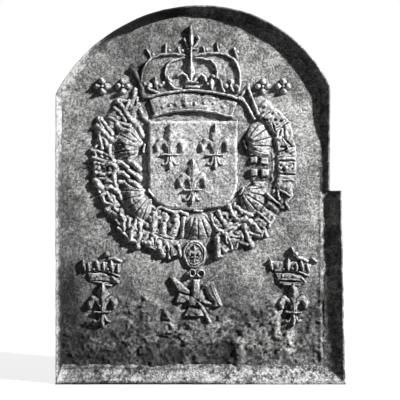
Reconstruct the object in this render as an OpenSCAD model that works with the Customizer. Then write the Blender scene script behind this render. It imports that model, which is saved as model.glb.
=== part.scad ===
// An arched cast-iron fireback. A thick plate stands on the hearth and leans on the chimney wall.
// A splayed border runs all round it, with its crest along the outer edge.
// The ornament is raised on the front: a closed crown over a shield with three fleurs-de-lis,
// two collars round the shield, a medallion and a cross below them, and two crowned fleurs-de-lis.
// X runs to the right, Y to the back and Z up. The origin lies under the middle of the plate.

/* [Plate] */
// Width of the plate between its two long edges
plate_w = 654; // [600:2:700]
// Height of the plate from the hearth to the top of the arch
plate_h = 900; // [860:5:960]
// Thickness of the plate behind the ornament
plate_t = 26; // [16:1:40]
// How far the top of the arch stands to the right of the middle
arch_x = 21; // [0:1:30]
// How much the left arc's radius exceeds the width that it spans
arch_left_ease = 44; // [30:1:90]
// How much the right arc's radius exceeds the width that it spans
arch_right_ease = 32; // [25:1:90]

/* [Border] */
// Height of the border above the field
border_rise = 24; // [8:1:30]
// Width of the flat crest along the border's outer edge
border_crest = 5; // [2:1:8]
// Width of the border along the arch
arch_splay = 21; // [12:1:40]
// Width of the border on the left edge
left_splay = 14; // [10:1:30]
// Width of the border on the right edge
right_splay = 24; // [12:1:30]
// Height of the ledge along the hearth
sill_h = 44; // [25:1:70]
// Height of the ledge above the field
sill_rise = 30; // [20:1:45]
// Width of the ledge's flat front face
sill_crest = 12; // [6:1:20]

/* [Shoulder] */
// Height of the widening on the right, from the hearth to its step
shoulder_h = 459; // [380:1:520]
// How far the widening stands out at its step
shoulder_reach = 26; // [15:1:34]
// How far the widening stands out at the hearth
shoulder_foot = 36; // [34:1:60]
// Width of the splayed face of the widening
shoulder_splay = 50; // [40:1:62]
// Height of the widening's crest above the field
shoulder_rise = 24; // [12:1:32]

/* [Shield] */
// Depth from the top of the arch to the centre of the arms
arms_drop = 375; // [360:1:390]
// Width of the shield's face
shield_w = 205; // [180:1:214]
// Height of the shield's face
shield_h = 208; // [195:1:214]
// How far the shield's top edge stands above the centre of the arms
shield_top = 103; // [98:1:106]
// Radius of the shield's lower corners
shield_corner = 58; // [30:1:80]
// How far the shield's foot is pointed
shield_point = 6; // [2:1:12]
// Width of the lower step round the shield's sides and foot
shield_flank = 7; // [3:1:9]
// Height of the shield above the field
shield_rise = 12; // [6:1:18]

/* [Fleurs-de-lis] */
// Height of each fleur-de-lis on the shield
lis_h = 107; // [70:1:112]
// Relief of each fleur-de-lis above what it stands on
lis_rise = 9; // [4:1:14]
// Distance between the two upper fleurs-de-lis
lis_spacing = 107; // [96:1:112]
// Distance from the shield's top edge to the upper fleurs' tips
lis_inset = 11; // [8:1:16]
// Distance from the shield's foot to the lower fleur's foot
lis_foot_gap = 6; // [3:1:12]

/* [Crown] */
// Radius to which the lower edge of the crown's circlet is curved
circlet_r = 291; // [270:1:330]
// Half of the angle that the circlet spans
circlet_angle = 19.5; // [18:0.5:20]
// Height of the circlet's face
circlet_h = 41; // [30:1:44]
// Relief of the circlet's face
circlet_rise = 11; // [5:1:14]
// Diameter of the roll along the circlet's top
roll_d = 10; // [6:1:12]
// Width of the groove between the circlet's face and its roll
roll_groove = 4; // [2:1:6]
// Clearance between the shield's top edge and the circlet's lower corners
crown_gap = 3; // [1:1:10]
// Width of the crown's arches
crown_arch_w = 14; // [8:1:16]
// Relief of the crown's arches
crown_arch_rise = 11; // [5:1:16]
// Height of the fleur-de-lis on top of the crown
finial_h = 60; // [45:1:62]
// Diameter of each pearl on the crown
pearl_d = 14; // [8:1:15]
// Relief of the jewels on the circlet
jewel_rise = 4; // [2:1:8]

/* [Collars] */
// Half width of the inner collar, to the middle of its shells
inner_rx = 160; // [158:1:161]
// Half height of the inner collar, to the middle of its shells
inner_rz = 150; // [148:1:151]
// Length of each shell from its hinge to its edge
shell_l = 53; // [40:1:54]
// Width of each shell
shell_w = 58; // [40:1:62]
// Relief of the shells
shell_rise = 16; // [6:1:16]
// Relief of the knots and bars between the shells
knot_rise = 12; // [5:1:14]
// Half width of the cord between the collars
cord_rx = 192; // [191:1:194]
// Half height of the cord between the collars
cord_rz = 181; // [180:1:183]
// Width of the cord
cord_w = 8; // [5:1:9]
// Relief of the cord
cord_rise = 8; // [4:1:12]
// Half width of the outer collar, to the middle of its links
outer_rx = 222; // [220:1:228]
// Half height of the outer collar, to the middle of its links
outer_rz = 206; // [205:1:211]
// Width of the bars that the outer collar's links are made of
link_w = 11; // [7:0.5:12]
// Relief of the outer collar's links
link_rise = 13; // [7:1:15]
// Width of the low bed that the outer collar's links lie on
link_bed_w = 40; // [30:1:42]
// Width of the low bed that the knots and bars lie on
knot_bed_w = 38; // [28:1:40]
// Relief of both beds
bed_rise = 4; // [2:0.5:5]
// Width of the ribbons between the crown and the shells
ribbon_w = 12; // [8:1:13]
// Relief of the ribbons
ribbon_rise = 10; // [4:1:12]

/* [Pendants] */
// Width of the oval medallion
medallion_w = 57; // [44:1:60]
// Height of the oval medallion
medallion_h = 68; // [54:1:72]
// Width of the medallion's raised rim
medallion_rim = 6; // [4:1:8]
// Relief of the medallion's rim
medallion_rise = 13; // [6:1:16]
// Distance from the outer collar's middle line down to the medallion's centre
medallion_drop = 11; // [8:1:16]
// Outer diameter of each ring that the cross hangs from
ring_d = 20; // [16:1:24]
// Width of each ring's band
ring_band = 5; // [3:1:6]
// Clearance between the pendant pieces
pendant_gap = 2; // [1:0.5:5]
// Span of the cross from side to side
cross_w = 128; // [100:2:140]
// Span of the cross from top to bottom
cross_h = 106; // [84:2:116]
// Relief of the cross
cross_rise = 11; // [6:1:16]
// Diameter of the boss in the middle of the cross
boss_d = 24; // [18:1:30]
// Relief of the boss above the cross
boss_rise = 5; // [2:1:8]

/* [Crowned devices] */
// Distance of the left device from the middle of the plate
left_device_x = 216; // [196:1:225]
// Distance of the right device from the middle of the plate
right_device_x = 240; // [225:1:250]
// Distance from the centre of the arms down to the devices' feet
device_drop = 389; // [375:1:400]
// Height of each device
device_h = 104; // [80:1:112]
// Relief of each device
device_rise = 13; // [6:1:18]
// Width of each small crown at its circlet
small_crown_w = 84; // [70:1:92]
// Height of each small crown without its orb
small_crown_h = 52; // [44:1:60]
// Relief of each small crown
small_crown_rise = 11; // [5:1:14]
// Clearance between a device and the crown above it
device_gap = 5; // [2:1:10]

/* [Rosettes] */
// Diameter of each rosette
rosette_d = 42; // [30:1:46]
// Relief of each rosette
rosette_rise = 10; // [5:1:14]
// Height of the rosettes above the centre of the arms
rosette_z = 183; // [176:1:190]
// Distance of the inner rosettes from the middle
rosette_inner_x = 167; // [166:1:170]
// Distance of the outer rosettes from the middle
rosette_outer_x = 216; // [214:1:222]

/* [Hidden] */
$fn = 96;
// Share of an ornament's relief that its wider lower step has
step_rise = 0.6;
// Share of an ornament's width that its upper step has
step_w = 0.62;
// How far cutting shapes run past what they cut
over = 1;
iron = "#5d5c5a";
soot = "#3a3938";
ash = "#8b8a86";

face_y = plate_t / 2;
left_x = -plate_w / 2;
right_x = plate_w / 2;
foot_x = right_x + shoulder_foot;
step_x = right_x + shoulder_reach;
arch_left_r = plate_w / 2 + arch_x + arch_left_ease;
arch_right_r = plate_w / 2 - arch_x + arch_right_ease;
arms_z = plate_h - arms_drop;
shield_z = arms_z + shield_top;
crown_x = -5;
crown_z = shield_z + crown_gap + circlet_r * (1 - cos(circlet_angle));
roll_r = circlet_r + circlet_h + roll_groove + roll_d / 2;
circlet_top_r = roll_r + roll_d / 2;
circlet_top = circlet_top_r - circlet_r;
medallion_z = arms_z - outer_rz - medallion_drop;
ring_z = medallion_z - medallion_h / 2 - pendant_gap - ring_d / 2;
cross_z = ring_z - ring_d / 2 - pendant_gap - cross_h / 2;
device_z = arms_z - device_drop;
small_crown_z = device_z + device_h + device_gap;

// Angles of the outer collar's links on each side, and of the ends of the beds they lie on
lance_start = 43.5;
lance_angle = 38;
pennon_angle = 26.5;
lance_end = 20;
plume_angle = 14;
spear_angle = 6.5;
spear_end = 2.5;
upper_clasp_angle = -2.5;
lower_clasp_angle = -12.5;
clasp_end = -18.5;
lozenge_angle = -25.5;
lozenge_end = -33;
spray_angle = -40;
spray_end = -47.2;
staves_angle = -54;
staves_end = -61.5;
banner_angle = -68;
banner_end = -74;
last_banner_end = -81;
last_banner_angle = -78.5;
// Angles of the shells round the inner collar
upper_left_shell_angle = 169;
lower_left_shell_angle = 213;
bottom_shell_angle = 271;
lower_right_shell_angle = 329;
upper_right_shell_angle = 17;
// Angles of the knots and bars between the shells, and of the ends of their beds
left_knot_angles = [183.5, 191.5, 199.5];
right_knot_angles = [0, 351.5, 343];
lower_left_bar_angles = [231, 239.5, 248, 256.5];
lower_right_bar_angles = [286.5, 295, 303.5, 312];
left_knot_bed = [179.5, 203];
right_knot_bed = [341, 364.5];
lower_left_bed = [226, 259];
lower_right_bed = [284, 315.5];

// ---- Outlines ----

// A point on the cubic curve with the four given control points
function on_curve(p, t) =
    pow(1 - t, 3) * p[0] + 3 * t * pow(1 - t, 2) * p[1]
    + 3 * t * t * (1 - t) * p[2] + pow(t, 3) * p[3];

// Evenly spaced points along that curve
function curve(p, n = 14) = [for (i = [0:n]) on_curve(p, i / n)];

// The unit normal of a path at its point i
function normal_at(path, i) =
    let (last = len(path) - 1)
    let (d = path[min(i + 1, last)] - path[max(i - 1, 0)])
    [-d[1], d[0]] / norm(d);

// The outline of a band along a path. It swells from its ends to its middle.
function band_points(path, start_w, mid_w, end_w) =
    let (last = len(path) - 1)
    let (half = [for (i = [0:last]) let (t = i / last)
        (start_w * (1 - t) * (1 - 2 * t) + mid_w * 4 * t * (1 - t) + end_w * t * (2 * t - 1)) / 2])
    concat(
        [for (i = [0:last]) path[i] + half[i] * normal_at(path, i)],
        [for (i = [last:-1:0]) path[i] - half[i] * normal_at(path, i)]
    );

// A pointed leaf from the origin up, widest at the given share of its length
function leaf_points(length, width, widest = 0.5, n = 10) =
    let (side = [for (i = [0:n]) let (t = i / n)
        let (s = t < widest ? 90 * t / widest : 90 + 90 * (t - widest) / (1 - widest))
        [width / 2 * sin(s), length * t]])
    concat(side, [for (i = [n - 1:-1:1]) [-side[i][0], side[i][1]]]);

// A round-ended bar between two points
function bar_points(p, q, width) =
    let (a = atan2(q[1] - p[1], q[0] - p[0]))
    concat(
        [for (i = [0:4]) q + width / 2 * [cos(a - 90 + 45 * i), sin(a - 90 + 45 * i)]],
        [for (i = [0:4]) p + width / 2 * [cos(a + 90 + 45 * i), sin(a + 90 + 45 * i)]]
    );

// An upright oval round the origin
function oval_points(width, height, n = 48) =
    [for (i = [0:n - 1]) [width / 2 * cos(360 * i / n), height / 2 * sin(360 * i / n)]];

// ---- Relief ----

// Turns a drawing so that it lies on the front of the plate. Its third axis is the relief.
module on_face(above = 0) {
    translate([0, -face_y - above, 0])
        rotate([90, 0, 0])
            children();
}

// A band with a wider lower step and a narrower upper one, which stops a little short of its ends
module raised_band(path, start_w, mid_w, end_w, rise) {
    inner_path = [for (i = [1:len(path) - 2]) path[i]];
    linear_extrude(step_rise * rise)
        polygon(band_points(path, start_w, mid_w, end_w));
    linear_extrude(rise)
        polygon(band_points(inner_path, step_w * start_w, step_w * mid_w, step_w * end_w));
}

// A bar with a wider lower step and a narrower upper one
module raised_bar(p, q, width, rise) {
    linear_extrude(step_rise * rise)
        polygon(bar_points(p, q, width));
    linear_extrude(rise)
        polygon(bar_points(p, q, step_w * width));
}

// A leaf with a wider lower step and a narrower upper one, which stops short of its tips
module raised_leaf(length, width, rise, widest = 0.5) {
    tip_inset = 0.06 * length;
    linear_extrude(step_rise * rise)
        polygon(leaf_points(length, width, widest));
    linear_extrude(rise)
        translate([0, tip_inset])
            polygon(leaf_points(length - 2 * tip_inset, step_w * width, widest));
}

// A round stud with a domed top
module stud(diameter, rise) {
    dome_r = (pow(diameter / 2, 2) + rise * rise) / (2 * rise);
    intersection() {
        translate([0, 0, rise - dome_r])
            sphere(dome_r);
        cylinder(d = diameter, h = rise);
    }
}

// ---- Places on the collars ----

// Stands a drawing on an oval at an angle, with its second axis pointing out
module at_angle(rx, rz, angle) {
    translate([rx * cos(angle), arms_z + rz * sin(angle)])
        rotate(angle - 90)
            children();
}

// A low strip along an oval round the centre of the arms, between two angles
module bed(rx, rz, width, from, to) {
    steps = 8;
    angles = [for (i = [0:steps]) from + (to - from) * i / steps];
    linear_extrude(bed_rise)
        translate([0, arms_z])
            polygon(concat(
                [for (a = angles) [(rx + width / 2) * cos(a), (rz + width / 2) * sin(a)]],
                [for (i = [steps:-1:0])
                    [(rx - width / 2) * cos(angles[i]), (rz - width / 2) * sin(angles[i])]]
            ));
}

// A stretch of the outer collar's bed on the right, or on the left as its mirror image
module link_bed(from, to, left) {
    mirror([left ? 1 : 0, 0, 0])
        bed(outer_rx, outer_rz, link_bed_w, from, to);
}

// A link of the outer collar on the right, or on the left as its mirror image
module collar_link(angle, left) {
    mirror([left ? 1 : 0, 0, 0])
        at_angle(outer_rx, outer_rz, angle)
            children();
}

// ---- Plate and border ----

// One half of the arched outline, beside the line through the arch's top
module half_outline(side_x, arch_r) {
    low_x = min(side_x, arch_x);
    half_w = abs(side_x - arch_x);
    intersection() {
        translate([arch_x, plate_h - arch_r])
            circle(arch_r);
        translate([low_x, plate_h - arch_r])
            square([half_w, arch_r]);
    }
    translate([low_x, 0])
        square([half_w, plate_h - arch_r]);
}

// Height at which a circle round the arch's centre crosses an upright line
function arch_meets(arch_r, radius, x) = plate_h - arch_r + sqrt(radius * radius - pow(x - arch_x, 2));

// The splayed section of a border, with its crest at the outer edge
function splay_section(outer, splay, crest, rise, sign) = [
    [outer - sign * splay, 0], [outer, 0], [outer, rise], [outer - sign * crest, rise]
];

// Corners where the borders along the edges and the arch meet, at the outer and the inner line
left_corner = [left_x, arch_meets(arch_left_r, arch_left_r, left_x)];
left_inner_corner = [left_x + left_splay,
    arch_meets(arch_left_r, arch_left_r - arch_splay, left_x + left_splay)];
right_corner = [right_x, arch_meets(arch_right_r, arch_right_r, right_x)];
right_inner_corner = [right_x - right_splay,
    arch_meets(arch_right_r, arch_right_r - arch_splay, right_x - right_splay)];

module back_plate() {
    color(iron)
        translate([0, face_y, 0])
            rotate([90, 0, 0])
                linear_extrude(plate_t)
                    union() {
                        half_outline(left_x, arch_left_r);
                        half_outline(right_x, arch_right_r);
                    }
}

// A border along the arch on one side, cut at the corner where it meets the straight border
module arch_border(arch_r, corner, inner_corner) {
    cut = over * (corner - inner_corner) / norm(corner - inner_corner);
    outer_cut = corner + cut;
    color(soot)
        on_face()
            intersection() {
                translate([arch_x, plate_h - arch_r, 0])
                    rotate_extrude()
                        polygon(splay_section(arch_r, arch_splay, border_crest, border_rise, 1));
                linear_extrude(border_rise + over)
                    polygon([outer_cut, inner_corner - cut, [arch_x, plate_h - arch_r],
                        [arch_x, plate_h + over], [outer_cut[0], plate_h + over]]);
            }
}

module left_arch_border() {
    arch_border(arch_left_r, left_corner, left_inner_corner);
}

module right_arch_border() {
    arch_border(arch_right_r, right_corner, right_inner_corner);
}

// A straight splayed border that stands upright, within the given outline
module upright_border(outer, splay, crest, rise, sign, outline) {
    intersection() {
        rotate([-90, 0, 0])
            mirror([0, 1, 0])
                linear_extrude(plate_h)
                    polygon(splay_section(outer, splay, crest, rise, sign));
        linear_extrude(rise)
            polygon(outline);
    }
}

module left_border() {
    color(iron)
        on_face()
            upright_border(left_x, left_splay, border_crest, border_rise, -1,
                [[left_x, 0], [left_x + left_splay, sill_h], left_inner_corner, left_corner]);
}

module right_border() {
    color(soot)
        on_face()
            upright_border(right_x, right_splay, border_crest, border_rise, 1,
                [[right_x - right_splay, shoulder_h], [right_x, shoulder_h],
                 right_corner, right_inner_corner]);
}

// The widening on the lower right: as thick as the plate, with a broad splay on its front
module right_shoulder() {
    color(soot) {
        translate([0, face_y, 0])
            rotate([90, 0, 0])
                linear_extrude(plate_t)
                    polygon([[right_x, 0], [foot_x, 0], [step_x, shoulder_h], [right_x, shoulder_h]]);
        on_face()
            upright_border(foot_x, shoulder_splay, border_crest, shoulder_rise, 1,
                [[foot_x - shoulder_splay, sill_h], [foot_x, 0], [step_x, shoulder_h],
                 [foot_x - shoulder_splay, shoulder_h]]);
    }
}

// The ledge along the hearth, mitred into the borders at its ends
module hearth_sill() {
    color(ash)
        on_face()
            intersection() {
                translate([foot_x, 0, 0])
                    rotate([0, -90, 0])
                        linear_extrude(foot_x - left_x)
                            polygon([[0, 0], [0, sill_h], [sill_rise, sill_crest], [sill_rise, 0]]);
                linear_extrude(sill_rise)
                    polygon([[left_x, 0], [foot_x, 0], [foot_x - shoulder_splay, sill_h],
                        [left_x + left_splay, sill_h]]);
            }
}

// ---- Shield ----

// The shield's outline, hung from the middle of its top edge
module shield_outline(width, height, corner) {
    translate([-width / 2, corner - height])
        square([width, height - corner]);
    translate([corner - width / 2, -height])
        square([width - 2 * corner, corner]);
    for (side = [-1, 1])
        translate([side * (width / 2 - corner), corner - height])
            circle(corner);
    polygon([[corner - width / 2, -height], [0, -height - shield_point],
        [width / 2 - corner, -height]]);
}

module shield() {
    color(iron)
        on_face()
            translate([0, shield_z, 0]) {
                linear_extrude(step_rise * shield_rise)
                    shield_outline(shield_w + 2 * shield_flank, shield_h + shield_flank,
                        shield_corner + shield_flank);
                linear_extrude(shield_rise)
                    shield_outline(shield_w, shield_h, shield_corner);
            }
}

// A fleur-de-lis that stands on the origin: a tall petal, two curled ones, a tie and three feet
module fleur_de_lis(height, rise) {
    tie_y = 0.31 * height;
    side_petal = [[0.05, 0.36], [0.05, 0.66], [0.31, 0.80], [0.34, 0.47]] * height;
    side_foot = [[0.05, 0.27], [0.07, 0.12], [0.15, 0.08], [0.21, 0.14]] * height;
    translate([0, tie_y])
        raised_leaf(height - tie_y, 0.31 * height, rise, 0.62);
    raised_bar([-0.17 * height, tie_y], [0.17 * height, tie_y], 0.075 * height, rise);
    translate([0, tie_y])
        mirror([0, 1, 0])
            raised_leaf(tie_y, 0.15 * height, rise, 0.5);
    for (side = [0, 1])
        mirror([side, 0, 0]) {
            raised_band(curve(side_petal), 0.06 * height, 0.13 * height, 0.05 * height, rise);
            raised_band(curve(side_foot, 8), 0.05 * height, 0.07 * height, 0.04 * height, rise);
        }
}

module fleur_on_shield(x, z) {
    color(iron)
        on_face(shield_rise)
            translate([x, z, 0])
                fleur_de_lis(lis_h, lis_rise);
}

module left_fleur_de_lis() {
    fleur_on_shield(-lis_spacing / 2, shield_z - lis_inset - lis_h);
}

module right_fleur_de_lis() {
    fleur_on_shield(lis_spacing / 2, shield_z - lis_inset - lis_h);
}

module lower_fleur_de_lis() {
    fleur_on_shield(0, shield_z - shield_h + lis_foot_gap);
}

// ---- Crown ----

// Puts a drawing on the face with its origin at the lowest point of the circlet's middle
module on_crown(above = 0) {
    on_face(above)
        translate([crown_x, crown_z, 0])
            children();
}

// Turns about the centre to which the circlet is curved
module round_circlet(angle) {
    translate([0, -circlet_r])
        rotate(-angle)
            children();
}

module crown_circlet() {
    color(iron)
        on_crown()
            round_circlet(0) {
                rotate_extrude(start = 90 - circlet_angle, angle = 2 * circlet_angle)
                    translate([circlet_r, 0])
                        square([circlet_h + roll_groove, step_rise * circlet_rise]);
                rotate_extrude(start = 90 - circlet_angle, angle = 2 * circlet_angle)
                    translate([circlet_r, 0])
                        square([circlet_h, circlet_rise]);
                rotate_extrude(start = 90 - circlet_angle, angle = 2 * circlet_angle)
                    translate([roll_r, 0])
                        intersection() {
                            circle(d = roll_d * 1.4);
                            translate([-roll_d / 2, 0])
                                square([roll_d, roll_d]);
                        }
            }
}

// Cut stones in the middle of the circlet's face: two ovals, a lozenge and a round one
module crown_jewels() {
    middle_r = circlet_r + circlet_h / 2;
    jewel = circlet_h / 2;
    color(iron)
        on_crown(circlet_rise) {
            round_circlet(-12.5)
                translate([0, middle_r])
                    linear_extrude(jewel_rise)
                        polygon(oval_points(jewel, 0.7 * jewel, 24));
            round_circlet(-2)
                translate([0, middle_r])
                    linear_extrude(jewel_rise)
                        polygon([[-jewel / 2, 0], [0, jewel / 2], [jewel / 2, 0], [0, -jewel / 2]]);
            round_circlet(5.5)
                translate([0, middle_r])
                    stud(0.7 * jewel, jewel_rise);
            round_circlet(14)
                translate([0, middle_r])
                    linear_extrude(jewel_rise)
                        polygon(oval_points(jewel, 0.7 * jewel, 24));
        }
}

// A trefoil on a short stalk that stands on the origin
module trefoil(size, rise) {
    stalk_w = 0.22 * size;
    translate([-stalk_w / 2, 0])
        cube([stalk_w, 0.5 * size, step_rise * rise]);
    for (place = [[0, 0.7], [-0.27, 0.36], [0.27, 0.36]])
        translate(size * place)
            stud(0.5 * size, rise);
}

// Fleurons along the top of the circlet: a fleur-de-lis between small lobes and trefoils
module crown_fleurons() {
    middle_fleuron_h = 0.124 * circlet_r;
    side_trefoil = 0.09 * circlet_r;
    lobe = 0.09 * circlet_r;
    lobe_angle = 5.4;
    trefoil_angle = 13.8;
    color(iron)
        on_crown() {
            translate([0, circlet_top])
                fleur_de_lis(middle_fleuron_h, crown_arch_rise);
            for (side = [-1, 1]) {
                round_circlet(side * lobe_angle)
                    translate([0, circlet_top_r])
                        raised_leaf(lobe, 0.7 * lobe, crown_arch_rise, 0.6);
                round_circlet(side * trefoil_angle)
                    translate([0, circlet_top_r])
                        trefoil(side_trefoil, crown_arch_rise);
            }
        }
}

// One arch of the crown, to the right or mirrored to the left
module crown_arch(path, left) {
    color(iron)
        on_crown()
            mirror([left ? 1 : 0, 0, 0])
                raised_band(curve(path, 20), crown_arch_w, crown_arch_w, 0.8 * crown_arch_w,
                    crown_arch_rise);
}

// The arches spring from the circlet and meet under the finial
outer_arch_path = circlet_r * [[0.381, 0.172], [0.454, 0.426], [0.309, 0.543], [0.055, 0.474]];
inner_arch_path = circlet_r * [[0.196, 0.299], [0.268, 0.371], [0.158, 0.426], [0.062, 0.43]];
spine_foot = 0.361 * circlet_r;
spine_top = 0.46 * circlet_r;
finial_foot = 0.505 * circlet_r;

module crown_left_outer_arch() {
    crown_arch(outer_arch_path, true);
}

module crown_right_outer_arch() {
    crown_arch(outer_arch_path, false);
}

module crown_left_inner_arch() {
    crown_arch(inner_arch_path, true);
}

module crown_right_inner_arch() {
    crown_arch(inner_arch_path, false);
}

module crown_centre_arch() {
    color(iron)
        on_crown()
            raised_bar([0, spine_foot], [0, spine_top], crown_arch_w, crown_arch_rise);
}

// Pearls on stalks under the feet of the inner arches, and pearls that stand on the outer arches
module crown_pearls() {
    pearl_angle = 9.4;
    stalk_h = 0.57 * pearl_d;
    stalk_w = 0.43 * pearl_d;
    outer_pearls = circlet_r * [[0.337, 0.512], [0.213, 0.553], [0.117, 0.55]];
    color(iron)
        on_crown() {
            for (side = [-1, 1])
                round_circlet(side * pearl_angle)
                    translate([0, circlet_top_r]) {
                        translate([-stalk_w / 2, 0])
                            cube([stalk_w, stalk_h + pearl_d / 4, step_rise * crown_arch_rise]);
                        translate([0, stalk_h + pearl_d / 2])
                            stud(pearl_d, crown_arch_rise);
                    }
            for (side = [-1, 1], place = outer_pearls)
                translate([side * place[0], place[1]])
                    stud(pearl_d, crown_arch_rise);
        }
}

module crown_finial() {
    color(iron)
        on_crown()
            translate([0, finial_foot])
                fleur_de_lis(finial_h, crown_arch_rise);
}

// ---- Ribbons ----

// Two strands that run from beside the crown to the upper shell
module ribbon(left) {
    long_strand = outer_rx * [[0.604, 0.793], [0.649, 0.631], [0.631, 0.477], [0.572, 0.378]];
    short_strand = outer_rx * [[0.667, 0.41], [0.59, 0.347], [0.527, 0.27], [0.523, 0.171]];
    color(iron)
        on_face()
            mirror([left ? 1 : 0, 0, 0])
                translate([0, arms_z]) {
                    raised_band(curve(long_strand), 0.6 * ribbon_w, ribbon_w, ribbon_w, ribbon_rise);
                    raised_band(curve(short_strand), ribbon_w, 1.1 * ribbon_w, 0.6 * ribbon_w,
                        ribbon_rise);
                }
}

module left_ribbon() {
    ribbon(true);
}

module right_ribbon() {
    ribbon(false);
}

// ---- Inner collar ----

// A scallop with its hinge towards the shield. Its ribs fan out to a waved edge.
module scallop(length, width, rise) {
    ribs = 7;
    spread = 100;
    edge = [for (i = [0:6 * ribs]) let (a = 90 + spread * (0.5 - i / (6 * ribs)))
        let (r = 0.97 - 0.03 * cos(360 * i / 6) - 0.16 * pow(abs(a - 90) / 50, 2))
        [width * 0.66 * r * cos(a), length * r * sin(a)]];
    translate([0, -length / 2]) {
        linear_extrude(step_rise * rise)
            polygon(concat([[0.12 * width, 0], [-0.12 * width, 0]], edge));
        for (i = [0:ribs - 1])
            let (a = 90 + 0.84 * spread * (0.5 - i / (ribs - 1)))
            raised_bar([0.12 * width * cos(a), 0.16 * length],
                [0.58 * width * cos(a), 0.86 * length * sin(a) - 0.1 * length * pow(cos(a), 2)],
                0.1 * width, rise);
    }
}

module shell_at(angle) {
    color(iron)
        on_face()
            at_angle(inner_rx, inner_rz, angle)
                scallop(shell_l, shell_w, shell_rise);
}

module upper_left_shell() {
    shell_at(upper_left_shell_angle);
}

module lower_left_shell() {
    shell_at(lower_left_shell_angle);
}

module bottom_shell() {
    shell_at(bottom_shell_angle);
}

module lower_right_shell() {
    shell_at(lower_right_shell_angle);
}

module upper_right_shell() {
    shell_at(upper_right_shell_angle);
}

// Rows of two slanting leaves
module left_knots() {
    half_slant = knot_bed_w * [0.13, 0.16];
    leaf_w = 0.29 * knot_bed_w;
    color(iron)
        on_face() {
            bed(inner_rx, inner_rz, knot_bed_w, left_knot_bed[0], left_knot_bed[1]);
            for (angle = left_knot_angles, side = [-1, 1])
                at_angle(inner_rx, inner_rz, angle)
                    translate([0, side * 0.29 * knot_bed_w])
                        raised_bar(-half_slant, half_slant, leaf_w, knot_rise);
        }
}

// Rows of two square knots
module right_knots() {
    square_w = 0.47 * knot_bed_w;
    color(iron)
        on_face() {
            bed(inner_rx, inner_rz, knot_bed_w, right_knot_bed[0], right_knot_bed[1]);
            for (angle = right_knot_angles, side = [-1, 1])
                at_angle(inner_rx, inner_rz, angle)
                    translate([0, side * 0.29 * knot_bed_w]) {
                        linear_extrude(step_rise * knot_rise)
                            square(square_w, center = true);
                        linear_extrude(knot_rise)
                            square(step_w * square_w, center = true);
                    }
        }
}

// A row of bars that point out from the shield
module bars_at(angles, ends) {
    bar_end = knot_bed_w * [0.05, 0.38];
    bar_w = 0.42 * knot_bed_w;
    color(iron)
        on_face() {
            bed(inner_rx, inner_rz, knot_bed_w, ends[0], ends[1]);
            for (angle = angles)
                at_angle(inner_rx, inner_rz, angle)
                    raised_bar(-bar_end, bar_end, bar_w, knot_rise);
        }
}

module lower_left_bars() {
    bars_at(lower_left_bar_angles, lower_left_bed);
}

module lower_right_bars() {
    bars_at(lower_right_bar_angles, lower_right_bed);
}

// ---- Cord between the collars ----

module collar_cord(left) {
    top_angle = 30;
    foot_angle = -76;
    steps = 30;
    cord_path = [for (i = [0:steps]) let (a = top_angle + (foot_angle - top_angle) * i / steps)
        [cord_rx * cos(a), arms_z + cord_rz * sin(a)]];
    color(iron)
        on_face()
            mirror([left ? 1 : 0, 0, 0])
                raised_band(cord_path, cord_w, cord_w, cord_w, cord_rise);
}

module left_collar_cord() {
    collar_cord(true);
}

module right_collar_cord() {
    collar_cord(false);
}

// ---- Outer collar ----

// Draws bars from a list of end points, which are shares of the bed's width
module link_bars(bars) {
    for (b = link_bed_w * bars)
        raised_bar([b[0], b[1]], [b[2], b[3]], link_w, link_rise);
}

// Moves a drawing by shares of the bed's width
module on_bed(x, y) {
    translate(link_bed_w * [x, y])
        children();
}

// Three lances side by side, and two pennons with a roundel
module lances(left) {
    color(iron)
        on_face() {
            link_bed(lance_start, lance_end, left);
            collar_link(lance_angle, left)
                link_bars([[-0.42, 0.38, -0.28, -0.3], [-0.05, 0.53, 0.1, -0.3], [0.38, 0.42, 0.45, -0.3]]);
            collar_link(pennon_angle, left) {
                link_bars([[-0.25, 0.53, -0.07, -0.3], [0.15, 0.57, 0.33, 0]]);
                on_bed(0.3, -0.25)
                    stud(1.2 * link_w, link_rise);
            }
        }
}

module left_lances() {
    lances(true);
}

module right_lances() {
    lances(false);
}

// A plume of two slanting feathers, and a spear that points outwards
module spear(left) {
    color(iron)
        on_face() {
            link_bed(lance_end, spear_end, left);
            collar_link(plume_angle, left)
                link_bars([[-0.38, 0.47, 0.15, 0.33], [-0.35, 0.1, 0.23, -0.03], [-0.17, -0.23, 0.2, -0.3]]);
            collar_link(spear_angle, left) {
                link_bars([[0, 0.5, 0.07, -0.33]]);
                on_bed(0, 0.3)
                    raised_leaf(0.48 * link_bed_w, 1.7 * link_w, link_rise, 0.35);
            }
        }
}

module left_spear() {
    spear(true);
}

module right_spear() {
    spear(false);
}

// A square buckle with a stud in its middle
module clasp() {
    link_bars([[-0.25, -0.25, -0.25, 0.45], [0.25, -0.25, 0.25, 0.45], [-0.25, -0.25, 0.25, -0.25], [-0.25, 0.45, 0.25, 0.45]]);
    on_bed(0, 0.1)
        stud(link_w, link_rise);
}

module clasps(left) {
    color(iron)
        on_face() {
            link_bed(spear_end, clasp_end, left);
            collar_link(upper_clasp_angle, left)
                clasp();
            collar_link(lower_clasp_angle, left)
                clasp();
        }
}

module left_clasps() {
    clasps(true);
}

module right_clasps() {
    clasps(false);
}

// Four bars round a stud
module lozenge(left) {
    color(iron)
        on_face() {
            link_bed(clasp_end, lozenge_end, left);
            collar_link(lozenge_angle, left) {
                link_bars([[-0.45, 0.1, 0, 0.53], [0, 0.53, 0.45, 0.1], [0.45, 0.1, 0, -0.3], [0, -0.3, -0.45, 0.1]]);
                on_bed(0, 0.1)
                    stud(link_w, link_rise);
            }
        }
}

module left_lozenge() {
    lozenge(true);
}

module right_lozenge() {
    lozenge(false);
}

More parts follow.
